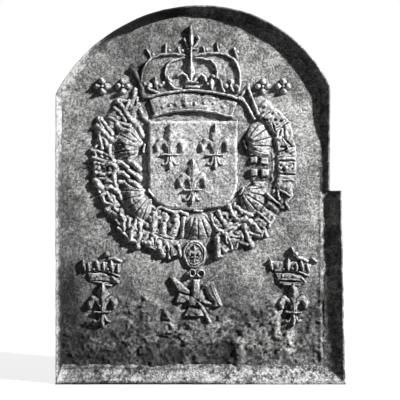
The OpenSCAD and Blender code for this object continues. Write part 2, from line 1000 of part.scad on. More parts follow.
// Three leaves that spring from a round bud
module leaf_spray(left) {
    leaf_w = 1.6 * link_w;
    color(iron)
        on_face() {
            link_bed(lozenge_end, spray_end, left);
            collar_link(spray_angle, left)
                on_bed(0, -0.33) {
                    cylinder(d = 1.2 * link_w, h = link_rise);
                    for (lean = [-44, 0, 44])
                        rotate(lean)
                            translate([0, 0.3 * link_w])
                                raised_leaf((lean == 0 ? 0.92 : 0.7) * link_bed_w, leaf_w, link_rise, 0.6);
                }
        }
}

module left_leaf_spray() {
    leaf_spray(true);
}

module right_leaf_spray() {
    leaf_spray(false);
}

// Two staves that cross, tied in the middle
module crossed_staves(left) {
    color(iron)
        on_face() {
            link_bed(spray_end, staves_end, left);
            collar_link(staves_angle, left)
                link_bars([[-0.4, -0.3, 0.4, 0.57], [0.4, -0.3, -0.4, 0.57], [-0.42, 0.12, 0.42, 0.12]]);
        }
}

module left_crossed_staves() {
    crossed_staves(true);
}

module right_crossed_staves() {
    crossed_staves(false);
}

// A narrow banner: a raised frame round a sunk panel
module banner() {
    banner_w = 0.57 * link_bed_w;
    banner_h = link_bed_w;
    frame_w = 0.66 * link_w;
    translate([-banner_w / 2, -0.35 * banner_h]) {
        linear_extrude(step_rise * link_rise)
            square([banner_w, banner_h]);
        linear_extrude(link_rise)
            difference() {
                square([banner_w, banner_h]);
                translate([frame_w, frame_w])
                    square([banner_w - 2 * frame_w, banner_h - 2 * frame_w]);
            }
    }
}

module left_banners() {
    color(iron)
        on_face() {
            link_bed(staves_end, last_banner_end, true);
            collar_link(banner_angle, true)
                banner();
            collar_link(last_banner_angle, true)
                banner();
        }
}

module right_banner() {
    color(iron)
        on_face() {
            link_bed(staves_end, banner_end, false);
            collar_link(banner_angle, false)
                banner();
        }
}

// ---- Pendants ----

// An oval medallion: a raised rim, a groove and an upright row of gadroons
module medallion() {
    inner_w = medallion_w - 2 * medallion_rim;
    inner_h = medallion_h - 2 * medallion_rim;
    flute = inner_w / 5;
    color(iron)
        on_face()
            translate([0, medallion_z]) {
                linear_extrude(step_rise * medallion_rise)
                    polygon(oval_points(medallion_w, medallion_h));
                linear_extrude(medallion_rise)
                    difference() {
                        polygon(oval_points(medallion_w, medallion_h));
                        polygon(oval_points(inner_w, inner_h));
                    }
                for (i = [-1:1])
                    let (half = inner_h / 2 - flute - abs(i) * 0.6 * flute)
                    raised_bar([i * 1.4 * flute, -half], [i * 1.4 * flute, half], flute,
                        medallion_rise);
            }
}

// Two rings side by side, from which the cross hangs
module medallion_rings() {
    color(iron)
        on_face()
            for (side = [-1, 1])
                translate([side * (ring_d / 2), ring_z])
                    linear_extrude(cross_rise)
                        difference() {
                            circle(d = ring_d);
                            circle(d = ring_d - 2 * ring_band);
                        }
}

// One arm of the cross, which widens to a forked end
module cross_arm(length, end_w) {
    waist = 0.24 * end_w;
    notch = 0.2 * length;
    linear_extrude(step_rise * cross_rise)
        polygon([[-waist / 2, 0], [waist / 2, 0], [end_w / 2, length], [0, length - notch],
            [-end_w / 2, length]]);
    linear_extrude(cross_rise)
        polygon([[-waist / 3, 0], [waist / 3, 0], [end_w / 3, length * 0.92],
            [0, length - 1.5 * notch], [-end_w / 3, length * 0.92]]);
}

module pendant_cross() {
    arm_end = 0.6 * cross_h;
    color(iron)
        on_face()
            translate([0, cross_z]) {
                for (turn = [0, 180])
                    rotate(turn) {
                        cross_arm(cross_h / 2, arm_end);
                        rotate(90)
                            cross_arm(cross_w / 2, arm_end);
                    }
                cylinder(d = boss_d, h = cross_rise);
            }
}

module cross_boss() {
    color(iron)
        on_face(cross_rise)
            translate([0, cross_z])
                stud(boss_d, boss_rise);
}

// ---- Crowned devices ----

// A small closed crown: a circlet, five ribs under a curved top, and an orb
module small_crown(x) {
    band_h = 0.3 * small_crown_h;
    bar_w = 0.15 * small_crown_h;
    orb_d = 0.32 * small_crown_h;
    dome = [[-0.5 * small_crown_w, 0.42 * small_crown_h], [-0.6 * small_crown_w, 1.12 * small_crown_h],
        [0.6 * small_crown_w, 1.12 * small_crown_h], [0.5 * small_crown_w, 0.42 * small_crown_h]];
    top_z = on_curve(dome, 0.5)[1] + bar_w / 2;
    color(iron)
        on_face()
            translate([x, small_crown_z]) {
                linear_extrude(small_crown_rise)
                    translate([-0.44 * small_crown_w, 0])
                        square([0.88 * small_crown_w, band_h]);
                raised_band(curve(dome, 24), bar_w, bar_w, bar_w, small_crown_rise);
                for (i = [-2:2])
                    raised_bar([0.16 * small_crown_w * i, band_h],
                        [0.2 * small_crown_w * i, (0.87 - 0.055 * i * i) * small_crown_h],
                        bar_w, small_crown_rise);
                translate([0, top_z + orb_d / 2])
                    stud(orb_d, small_crown_rise);
            }
}

module left_small_crown() {
    small_crown(-left_device_x);
}

module right_small_crown() {
    small_crown(right_device_x);
}

module device(x) {
    color(iron)
        on_face()
            translate([x, device_z])
                fleur_de_lis(device_h, device_rise);
}

module left_device() {
    device(-left_device_x);
}

module right_device() {
    device(right_device_x);
}

// ---- Rosettes ----

// A rosette of four round petals and a heart
module rosette(x) {
    petal_d = 0.46 * rosette_d;
    color(iron)
        on_face()
            translate([x, arms_z + rosette_z]) {
                for (i = [0:3])
                    rotate(90 * i)
                        translate([0, (rosette_d - petal_d) / 2])
                            stud(petal_d, rosette_rise);
                cylinder(d = 0.42 * rosette_d, h = step_rise * rosette_rise);
                stud(0.3 * rosette_d, rosette_rise);
            }
}

module outer_left_rosette() {
    rosette(-rosette_outer_x);
}

module inner_left_rosette() {
    rosette(-rosette_inner_x);
}

module inner_right_rosette() {
    rosette(rosette_inner_x);
}

module outer_right_rosette() {
    rosette(rosette_outer_x);
}

back_plate();
left_border();
left_arch_border();
right_arch_border();
right_border();
right_shoulder();
hearth_sill();
shield();
left_fleur_de_lis();
right_fleur_de_lis();
lower_fleur_de_lis();
crown_circlet();
crown_jewels();
crown_fleurons();
crown_left_outer_arch();
crown_right_outer_arch();
crown_left_inner_arch();
crown_right_inner_arch();
crown_centre_arch();
crown_pearls();
crown_finial();
left_ribbon();
right_ribbon();
upper_left_shell();
lower_left_shell();
bottom_shell();
lower_right_shell();
upper_right_shell();
left_knots();
right_knots();
lower_left_bars();
lower_right_bars();
left_collar_cord();
right_collar_cord();
left_lances();
right_lances();
left_spear();
right_spear();
left_clasps();
right_clasps();
left_lozenge();
right_lozenge();
left_leaf_spray();
right_leaf_spray();
left_crossed_staves();
right_crossed_staves();
left_banners();
right_banner();
medallion();
medallion_rings();
pendant_cross();
cross_boss();
left_small_crown();
right_small_crown();
left_device();
right_device();
outer_left_rosette();
inner_left_rosette();
inner_right_rosette();
outer_right_rosette();
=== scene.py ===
"""The looks of an arched cast-iron fireback with a crowned shield, two collars and pendants."""

import math

import bpy
import numpy as np
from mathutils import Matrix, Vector


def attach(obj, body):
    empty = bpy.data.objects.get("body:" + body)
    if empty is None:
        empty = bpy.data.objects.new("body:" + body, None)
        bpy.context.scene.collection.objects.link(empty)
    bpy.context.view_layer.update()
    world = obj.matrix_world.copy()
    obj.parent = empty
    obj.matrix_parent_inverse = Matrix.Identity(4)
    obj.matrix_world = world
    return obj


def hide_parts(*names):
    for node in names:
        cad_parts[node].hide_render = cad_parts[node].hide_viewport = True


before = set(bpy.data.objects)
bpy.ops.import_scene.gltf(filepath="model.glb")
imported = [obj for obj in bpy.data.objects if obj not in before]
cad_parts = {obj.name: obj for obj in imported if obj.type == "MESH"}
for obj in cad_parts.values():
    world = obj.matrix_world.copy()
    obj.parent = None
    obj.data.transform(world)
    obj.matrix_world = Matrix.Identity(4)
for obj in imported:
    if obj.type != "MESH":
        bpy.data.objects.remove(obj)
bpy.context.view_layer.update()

MM = 0.001

# ---- Sizes in millimetres, most of them the CAD part's ----
PLATE_H = 900
LEFT_X, RIGHT_X = -327, 327
FACE = 13
ARCH_X = 21
LEFT_R, RIGHT_R = 392, 338
BORDER_RISE, BORDER_CREST = 24, 5
ARCH_SPLAY, LEFT_SPLAY, RIGHT_SPLAY = 21, 14, 24
SILL_H, SILL_RISE, SILL_CREST = 44, 30, 12
SHOULDER_H, STEP_X, FOOT_X, SHOULDER_SPLAY, SHOULDER_RISE = 459, 353, 363, 50, 24
ARMS_Z = 525
SHIELD_Z, SHIELD_W, SHIELD_H, SHIELD_CORNER = 628, 205, 208, 58
SHIELD_FLANK, SHIELD_POINT, SHIELD_RISE = 7, 6, 12
LIS_H, LIS_RISE = 107, 9
CROWN_X, CIRCLET_R, CIRCLET_ANGLE = -5, 291, 19.5
CROWN_Z = SHIELD_Z + 3 + CIRCLET_R * (1 - math.cos(math.radians(CIRCLET_ANGLE)))
CIRCLET_H, ROLL_D, GROOVE = 41, 10, 4
CIRCLET_TOP_R = CIRCLET_R + CIRCLET_H + GROOVE + ROLL_D
INNER_RX, INNER_RZ = 160, 150
CORD_RX, CORD_RZ, CORD_START, CORD_END = 192, 181, 30, -76
OUTER_RX, OUTER_RZ = 222, 206
BED_W, BED_RISE = 40, 8.5
MEDALLION_X, MEDALLION_Z, MEDALLION_W, MEDALLION_H = 3.5, 308, 57, 68
RING_Z, RING_D = 262, 20
CROSS_Z = 197
LEFT_DEVICE_X, RIGHT_DEVICE_X, DEVICE_Z, DEVICE_H = -216, 240, 136, 104
ROSETTE_Z, PETAL_R, PETAL_D, PETAL_RISE, EYE_D = ARMS_Z + 183, 11.3, 19, 15, 10

# ---- Wear, and how the reliefs and edges are made, in millimetres ----
FLAKED_H, FLAKED_LEFT_DROP = 215, 52
BEAD_X, BEAD_W, BEAD_RISE = 306, 4.2, 2.4
MOUND_X, MOUND_Z, MOUND_W, MOUND_H = 268, 56, 42, 20
# How far a relief's body reaches down into what carries it, and how far its outermost points are sunk
FOOT_DEPTH, TOE_SINK = 2.6, 1.3
# How far the rounded edge of the shield lies inside the CAD's
SHIELD_INSET = 1
# Rows of points where an outer wall rounds over to the back, as (y, how far inside the wall)
BACK_EDGE = ((9, 0), (11.3, 0.5), (12.5, 1.6), (12.85, 3.2))

# ---- Noise ----
random = np.random.default_rng(29)
LATTICE = random.random((256, 256))


def noise(x, z, size, seed):
    """Smooth noise from -1 to 1 whose blobs are about size wide."""
    u, v = x / size + 17.31 * seed, z / size + 9.17 * seed
    i, j = np.floor(u).astype(int), np.floor(v).astype(int)
    f, g = u - i, v - j
    f, g = f * f * (3 - 2 * f), g * g * (3 - 2 * g)
    low = LATTICE[i % 256, j % 256] * (1 - f) + LATTICE[(i + 1) % 256, j % 256] * f
    high = LATTICE[i % 256, (j + 1) % 256] * (1 - f) + LATTICE[(i + 1) % 256, (j + 1) % 256] * f
    return 2 * (low * (1 - g) + high * g) - 1


def waves(x, z, *parts):
    """Noises added up, each given as its strength, size and seed."""
    return sum(strength * noise(x, z, size, seed) for strength, size, seed in parts)


def smooth(t):
    t = np.clip(t, 0, 1)
    return t * t * (3 - 2 * t)


def smooth_max(a, b, k):
    """The larger of two heights, with a rounded crease k mm wide where they cross."""
    t = np.clip(0.5 + 0.5 * (a - b) / k, 0, 1)
    return b * (1 - t) + a * t + k * t * (1 - t)


def bell(t):
    """1 at 0, which falls smoothly to nothing at about 2 on either side."""
    return np.exp(-(t**2))


def hump(x, z, cx, cz, w, h):
    """A round bump of height 1 at a place, with its half width and half height."""
    return bell((x - cx) / w) * bell((z - cz) / h)


def to_segment(x, z, p, q):
    """Distance of points from a segment, and the share of its length at which they lie."""
    length = (q[0] - p[0]) ** 2 + (q[1] - p[1]) ** 2 + 1e-9
    t = np.clip(((x - p[0]) * (q[0] - p[0]) + (z - p[1]) * (q[1] - p[1])) / length, 0, 1)
    return np.hypot(x - p[0] - t * (q[0] - p[0]), z - p[1] - t * (q[1] - p[1])), t


# ---- The plate's face ----
def flaked(x, z):
    """Share to which the fire has flaked the iron at a point: most of the lower third."""
    limit = FLAKED_H - FLAKED_LEFT_DROP * smooth((-150 - x) / 60)
    return smooth((limit - z + waves(x, z, (45, 70, 8), (14, 19, 15))) / 60)


# Where the cast face swells: middle, half width, half height and rise
SWELLS = [
    (-104, 268, 44, 52, 7), (112, 268, 44, 50, 7), (-118, 150, 30, 34, 3.5), (20, 150, 34, 30, 3),
    (170, 150, 34, 40, 4), (-250, 330, 40, 60, 3), (266, 330, 34, 70, 3), (-235, 720, 50, 40, 3),
    (232, 600, 40, 50, 2.5),
]

# Edges of the crust low on the front: rise, width of the steep side, of the slope, and line
CRUSTS = [
    (4.4, 8, 40, [(-52, 124), (-57, 155), (-74, 181), (-107, 198)]),
    (3.6, 7, 34, [(-79, 48), (-93, 79), (-119, 105), (-136, 129)]),
    (4.4, 8, 16, [(115, 48), (115, 100)]),
    (5.0, 12, 18, [(236, 74), (232, 122)]),
    (3.6, 9, 14, [(203, 112), (203, 190)]),
    (3.2, 9, 10, [(119, 98), (69, 112)]),
    (2.6, 5, 6, [(29, 50), (7, 64)]),
    (2.4, 6, 12, [(41, 122), (31, 146)]),
    (2.2, 5, 8, [(-107, 150), (-126, 172)]),
    (-1.8, 5, 5, [(57, 186), (84, 179), (112, 166)]),
    (3, 6, 12, [(-176, 196), (-120, 208), (-78, 176), (-52, 150)]),
    (-2.0, 4, 4, [(-90, 110), (-60, 104), (-30, 112)]),
    (2.2, 6, 9, [(168, 55), (160, 84), (176, 110)]),
    (2.0, 5, 10, [(-215, 120), (-232, 102)]),
]


def crust(x, z, rise, steep, slope, line):
    """Height of an edge of the crust, steep on the right of its line and sloping on the left."""
    best, side, beyond = np.full(x.shape, 1e3), np.zeros(x.shape), np.zeros(x.shape)
    for i, (p, q) in enumerate(zip(line[:-1], line[1:])):
        length = math.hypot(q[0] - p[0], q[1] - p[1])
        along = ((x - p[0]) * (q[0] - p[0]) + (z - p[1]) * (q[1] - p[1])) / length
        across = ((x - p[0]) * (q[1] - p[1]) - (z - p[1]) * (q[0] - p[0])) / length
        past = np.maximum(-along * (i == 0), (along - length) * (i == len(line) - 2))
        d = np.hypot(across, np.maximum(np.maximum(-along, along - length), 0))
        near = d < best
        side, beyond = np.where(near, across, side), np.where(near, past, beyond)
        best = np.minimum(best, d)
    return rise * bell(np.maximum(beyond, 0) / steep) * bell(best / np.where(side > 0, steep, slope))


def field(x, z):
    """Height of the cast field over the flat face: a sand mould's waves, lumps, grain and pits."""
    h = waves(x, z, (0.9, 75, 1), (1.2, 26, 2), (0.6, 11, 3), (0.5, 5.5, 4), (0.26, 3.8, 5))
    pits = np.clip(noise(x, z, 7, 6) - 0.6, 0, 1) + 0.7 * np.clip(noise(x, z, 13, 7) - 0.66, 0, 1)
    worn = flaked(x, z)
    h -= pits * (1.8 + 2.4 * worn)
    scale = waves(x, z, (1, 62, 16), (0.3, 22, 17))
    h -= worn * (2.0 * smooth((scale + 0.1) / 0.3) - 0.8)
    h += worn * waves(x, z, (2.6, 34, 9), (3.0, 15, 13), (1.7, 7, 10))
    strayed = x + waves(x, z, (5, 26, 65), (2, 8, 66)), z + waves(x, z, (5, 26, 67), (2, 8, 68))
    for edge in CRUSTS:
        h += crust(*strayed, *edge)
    for *place, rise in SWELLS:
        h += rise * hump(x, z, *place)
    # A bead along the shoulder's toe, and a mound of cinders grown on in the lower right corner
    beside = smooth((SHOULDER_H - z) / 8) * smooth((z - SILL_H) / 6)
    h += BEAD_RISE * beside * bell((x - BEAD_X) / BEAD_W) * (1 + 0.3 * noise(x, z, 14, 18))
    mound = hump(x, z, MOUND_X, MOUND_Z, MOUND_W, MOUND_H)
    return h + mound * (4.5 + waves(x, z, (1.6, 16, 19), (1.2, 7, 20)))


# Soot and ash on the front, with painted light and shade: where each patch lies, how far it spreads, and
# how much it lightens
PATCHES = [
    (240, 590, 120, 150, 0.55), (230, 800, 90, 90, 0.15), (0, 530, 125, 120, 0.75),
    (12, 730, 110, 72, 0.75), (-253, 496, 75, 100, 0.25), (279, 485, 60, 110, 0.2),
    (-134, 265, 45, 40, 0.1), (165, 275, 50, 50, 0.2), (-60, 110, 260, 38, 0.3),
    (-150, 780, 110, 90, -0.30), (-330, 150, 120, 300, -0.45), (0, 60, 330, 80, -0.27),
    (58, 755, 48, 28, 0.6), (-60, 765, 40, 20, 0.2), (205, 110, 90, 60, 0.5),
    (-150, 250, 90, 60, 0.15), (130, 250, 90, 60, 0.15), (-300, 520, 60, 160, -0.12),
    (-20, 832, 150, 28, -0.25), (-150, 790, 70, 35, -0.3), (-55, 725, 28, 45, -0.25),
    (235, 730, 40, 40, -0.2), (-60, 650, 70, 22, -0.2), (-294, 450, 30, 170, -0.15),
    (-235, 600, 60, 90, 0.12), (-246, 455, 25, 70, 0.2), (136, 413, 25, 22, -0.4),
    (225, 365, 40, 30, -0.2), (-50, 318, 25, 20, -0.3), (-152, 235, 28, 45, -0.5),
    (-110, 215, 30, 20, -0.15), (41, 268, 22, 20, 0.3), (88, 200, 28, 42, -0.4),
    (140, 150, 40, 40, -0.3), (184, 240, 25, 40, -0.25), (-160, 130, 70, 30, -0.2),
    (235, 130, 40, 25, -0.2), (-294, 690, 30, 40, 0.25),
]

# Streaks of soot and ash, of painted shadow and shade beside reliefs, and of painted highlight along the
# crust's lit edges: from where, to where, how wide, and how much they lighten
STREAKS = [
    (-148, 757, -112, 675, 6, -0.9), (-124, 760, -122, 720, 9, -0.5), (203, 112, 203, 200, 9, 0.45),
    (236, 76, 232, 120, 10, 0.6), (-55, 130, -80, 188, 10, 0.45), (115, 50, 115, 95, 9, 0.5),
    (75, 115, 120, 104, 9, 0.4), (-300, 50, -160, 55, 14, -0.2), (-172, 575, -160, 540, 13, -0.45),
    (-158, 455, -138, 420, 13, -0.45), (122, 578, 126, 556, 9, -0.5), (108, 452, 118, 425, 9, -0.5),
    (140, 74, 162, 60, 14, -0.3), (84, 90, 100, 60, 13, -0.3), (-110, 60, -30, 66, 12, -0.2),
    (-130, 160, -120, 110, 8, -0.25), (191, 628, 186, 461, 7, -0.8), (159, 542, 159, 492, 3.5, -0.7),
    (135, 486, 187, 486, 4, -0.7), (122, 590, 124, 480, 8, -0.7), (-300, 90, -290, 240, 22, -0.25),
    (70, 60, 98, 84, 16, -0.25), (-330, 60, -330, 330, 12, -0.1),
]


def tone(x, z):
    """How light the iron is at a point of the front, where 1 is its middle grey."""
    t = 0.62 + 0.34 * smooth((z - 120) / 260)
    for *place, lift in PATCHES:
        t = t + lift * hump(x, z, *place)
    for x0, z0, x1, z1, width, lift in STREAKS:
        t = t + lift * bell(to_segment(x, z, (x0, z0), (x1, z1))[0] / width)
    low = 1 - smooth((z - 150) / 60)
    t = t * (1 + low * waves(x, z, (0.32, 17, 74), (0.28, 8, 75)))
    t = t * (1 + waves(x, z, (0.18, 60, 51), (0.3, 24, 52), (0.25, 13, 59)))
    return np.clip(t - 0.1 * flaked(x, z) * (1 + noise(x, z, 18, 53)), 0.12, 1.9)


def wall(x, y, z):
    """How far an outer wall lies inside its true place at a point: 0 to about 2 mm."""
    rough = noise(x + 1.7 * y, z + 1.1 * y, 30, 11) + 0.6 * noise(x - 1.3 * y, z + 2 * y, 9, 12)
    return np.clip(0.95 + 0.6 * rough, 0.05, 2.2)


# ---- Meshes ----
def points_at(x, y, z):
    """Points, one in a row, from arrays or single numbers."""
    return np.stack(np.broadcast_arrays(x, y, z), -1).reshape(-1, 3)


def quads(a, b, c, d):
    """Faces from the numbers of their four corners."""
    return [*np.stack([a, b, c, d], -1).reshape(-1, 4)]


def piece(name, points, faces, material, marks):
    """A piece from points in mm, with marks for the material on its points, 0 where a mark ends early."""
    mesh = bpy.data.meshes.new(name)
    points = np.asarray(points, float)
    counts = np.array([len(f) for f in faces], np.int32)
    corners = np.concatenate([np.asarray(f, np.int32) for f in faces])
    starts = np.concatenate([[0], np.cumsum(counts)[:-1]]).astype(np.int32)
    mesh.vertices.add(len(points))
    mesh.vertices.foreach_set("co", (points * MM).astype(np.float32).ravel())
    mesh.loops.add(len(corners))
    mesh.loops.foreach_set("vertex_index", corners)
    mesh.polygons.add(len(counts))
    mesh.polygons.foreach_set("loop_start", starts)
    mesh.polygons.foreach_set("use_smooth", np.ones(len(counts), bool))
    # The sides and the back are painted darker than the front, as painted shade
    x, y, z = points.T
    marks = {"tone": tone(x, z) * (1 - 0.45 * smooth((y + FACE) / 2)), **marks}
    for mark, values in marks.items():
        values = np.pad(values, (0, len(points) - len(values)))
        attribute = mesh.attributes.new(mark, "FLOAT", "POINT")
        attribute.data.foreach_set("value", values.astype(np.float32))
    mesh.update(calc_edges=True)
    mesh.validate()
    mesh.materials.append(material)
    thing = bpy.data.objects.new(name, mesh)
    bpy.context.scene.collection.objects.link(thing)
    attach(thing, "root")
    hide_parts(name)


def soften(h, times):
    """Averages each height with its neighbours, again and again."""
    for _ in range(times):
        p = np.pad(h, 1, mode="edge")
        h = (p[:-2, 1:-1] + p[2:, 1:-1] + p[1:-1, :-2] + p[1:-1, 2:] + 2 * h) / 6
    return h


# ---- Materials ----
# Colours of the blackest iron, which soot and the painted shade darken towards, and the lightest iron, and
# the share of a shade at which its ramp is read
SOOT_AND_SHADE_BLACK, WARM_GREY, SHADE_SHARE = (0.012, 0.012, 0.012), (1.0, 0.995, 0.98), 0.4


class Nodes:
    """The node tree of a material or world, emptied, with short ways to add to it."""

    def __init__(self, owner):
        owner.use_nodes = True
        self.tree = owner.node_tree
        self.tree.nodes.clear()

    def add(self, kind, settings=None, **inputs):
        node = self.tree.nodes.new(kind)
        for key, value in (settings or {}).items():
            setattr(node, key, value)
        for key, value in inputs.items():
            socket = node.inputs[int(key[1:])] if key[0] == "_" else node.inputs[key.replace("_", " ")]
            if isinstance(value, bpy.types.NodeSocket):
                self.tree.links.new(value, socket)
            else:
                socket.default_value = value
        return node

    def math(self, operation, a, b, clamp=False):
        settings = {"operation": operation, "use_clamp": clamp}
        return self.add("ShaderNodeMath", settings, _0=a, _1=b).outputs[0]

    def times(self, a, b):
        return self.math("MULTIPLY", a, b)

    def ramp(self, value, low, high, out_low=0.0, out_high=1.0):
        return self.add(
            "ShaderNodeMapRange", {"interpolation_type": "SMOOTHSTEP"}, Value=value,
            From_Min=low, From_Max=high, To_Min=out_low, To_Max=out_high,
        ).outputs[0]

    def cloud(self, place, scale, detail, roughness):
        return self.add(
            "ShaderNodeTexNoise", None, Vector=place, Scale=scale, Detail=detail, Roughness=roughness
        ).outputs[0]

    def mark(self, name):
        return self.add("ShaderNodeAttribute", {"attribute_name": name}).outputs["Fac"]


def iron(name, level, bumpy=0.003):
    """Old cast iron of a grey tone, with painted shade in its hollows, and its ridges lighter as rubbed
    wear and painted highlight.
    """
    material = bpy.data.materials.new(name)
    n = Nodes(material)
    place = n.add("ShaderNodeTexCoord").outputs["Object"]
    # Broad clouds, speckles of rust scale, and fine grain over the tone of the place
    broad = n.cloud(place, 14.0, 4.0, 0.62)
    speckle = n.cloud(place, 165.0, 5.0, 0.75)
    grain = n.cloud(place, 430.0, 3.0, 0.75)
    shade = n.times(n.mark("tone"), n.ramp(broad, 0.3, 0.72, 0.8, 1.2))
    shade = n.times(shade, n.ramp(speckle, 0.36, 0.64, 0.34, 1.62))
    shade = n.times(shade, n.ramp(grain, 0.34, 0.66, 0.32, 1.64))

    # Ridges lighter as rubbed wear and painted highlight, hollows darker as painted shade
    ridge = n.mark("ridge")
    shade = n.times(shade, n.ramp(ridge, -0.75, 0.0, 0.14, 1.0))
    shade = n.times(shade, n.ramp(ridge, 0.03, 0.7, 1.0, 1.6))
    # Painted shade near the feet of reliefs and borders, broken up by speckles
    painted_shade = n.times(n.mark("painted_shade"), n.ramp(speckle, 0.35, 0.6, 0.6, 1.0))
    shade = n.times(shade, n.math("SUBTRACT", 1.0, n.times(painted_shade, 0.2)))

    # The ramp's light end stands for a shade of 1 / SHADE_SHARE
    tones = n.add("ShaderNodeValToRGB", None, Fac=n.math("MULTIPLY", shade, SHADE_SHARE, True))
    dark, light = tones.color_ramp.elements
    dark.position, dark.color = 0.0, (*SOOT_AND_SHADE_BLACK, 1)
    light.position, light.color = 1.0, (*(min(0.8, c * level / SHADE_SHARE) for c in WARM_GREY), 1)

    rubbed = n.times(n.ramp(ridge, 0.1, 0.9), -0.12)
    rough = n.math("ADD", n.ramp(speckle, 0.3, 0.7, 0.78, 0.6), rubbed)
    pits = n.add("ShaderNodeTexVoronoi", None, Vector=place, Scale=310.0).outputs["Distance"]
    pitted = n.math("ADD", speckle, n.times(n.ramp(pits, 0.0, 0.35), 0.35))
    bumps = n.math("ADD", n.times(grain, 0.8), pitted)
    bump = n.add("ShaderNodeBump", None, Strength=1.0, Distance=bumpy, Height=bumps)
    look = n.add(
        "ShaderNodeBsdfPrincipled", None, Base_Color=tones.outputs[0], Roughness=rough,
        Metallic=0.0, Specular_IOR_Level=0.07, Normal=bump.outputs[0],
    )
    n.add("ShaderNodeOutputMaterial", None, Surface=look.outputs[0])
    return material


PLATE = iron("Cast_iron_field", 0.30)
# The rim's dark tone, set in rim_tone, is painted shade for the shaded band along its top and right
RIM = iron("Rim_iron_painted_shade", 0.30)
SILL = iron("Ashy_sill", 0.42)
# The relief's iron is lighter than the field's: rubbed wear, and painted light on its lit tops
RELIEF = iron("Cast_iron_relief", 0.50, bumpy=0.002)
for cad_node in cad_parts.values():
    cad_node.data.materials.clear()
    cad_node.data.materials.append(PLATE)


# ---- Relief ----
# How wide the crease is between two forms of a relief, and between two of an ornament's strokes
CREASE, FINE_CREASE = 2.2, 1.2
# How wide the sloping sides are of a band along an oval, and of a flat form in an ornament
BAND_BEVEL, BED_BEVEL = 9, 4.5
# How far a sheet reaches past an ornament's points, and past a band
STROKE_MARGIN, BAND_MARGIN = 12, 4
# What is taken off every height, so that a relief ends in a clean line
SKIN = 0.35


def turned(x, z, angle):
    a = math.radians(angle)
    return x * math.cos(a) - z * math.sin(a), x * math.sin(a) + z * math.cos(a)


def curve(p, n):
    """Points along the cubic curve with four control points."""
    t = np.linspace(0, 1, n)[:, None]
    p = np.asarray(p, float)
    return (1 - t) ** 3 * p[0] + 3 * t * (1 - t) ** 2 * p[1] + 3 * t * t * (1 - t) * p[2] + t**3 * p[3]


def band_outline(rx, rz, half, start, end, mirror, n):
    """Outline of a band along an oval round the arms, between two angles."""
    a = np.radians(np.linspace(start, end, n))
    outer = np.stack([(rx + half) * np.cos(a), ARMS_Z + (rz + half) * np.sin(a)], 1)
    inner = np.stack([(rx - half) * np.cos(a), ARMS_Z + (rz - half) * np.sin(a)], 1)[::-1]
    return np.concatenate([outer, inner]) * (mirror, 1)


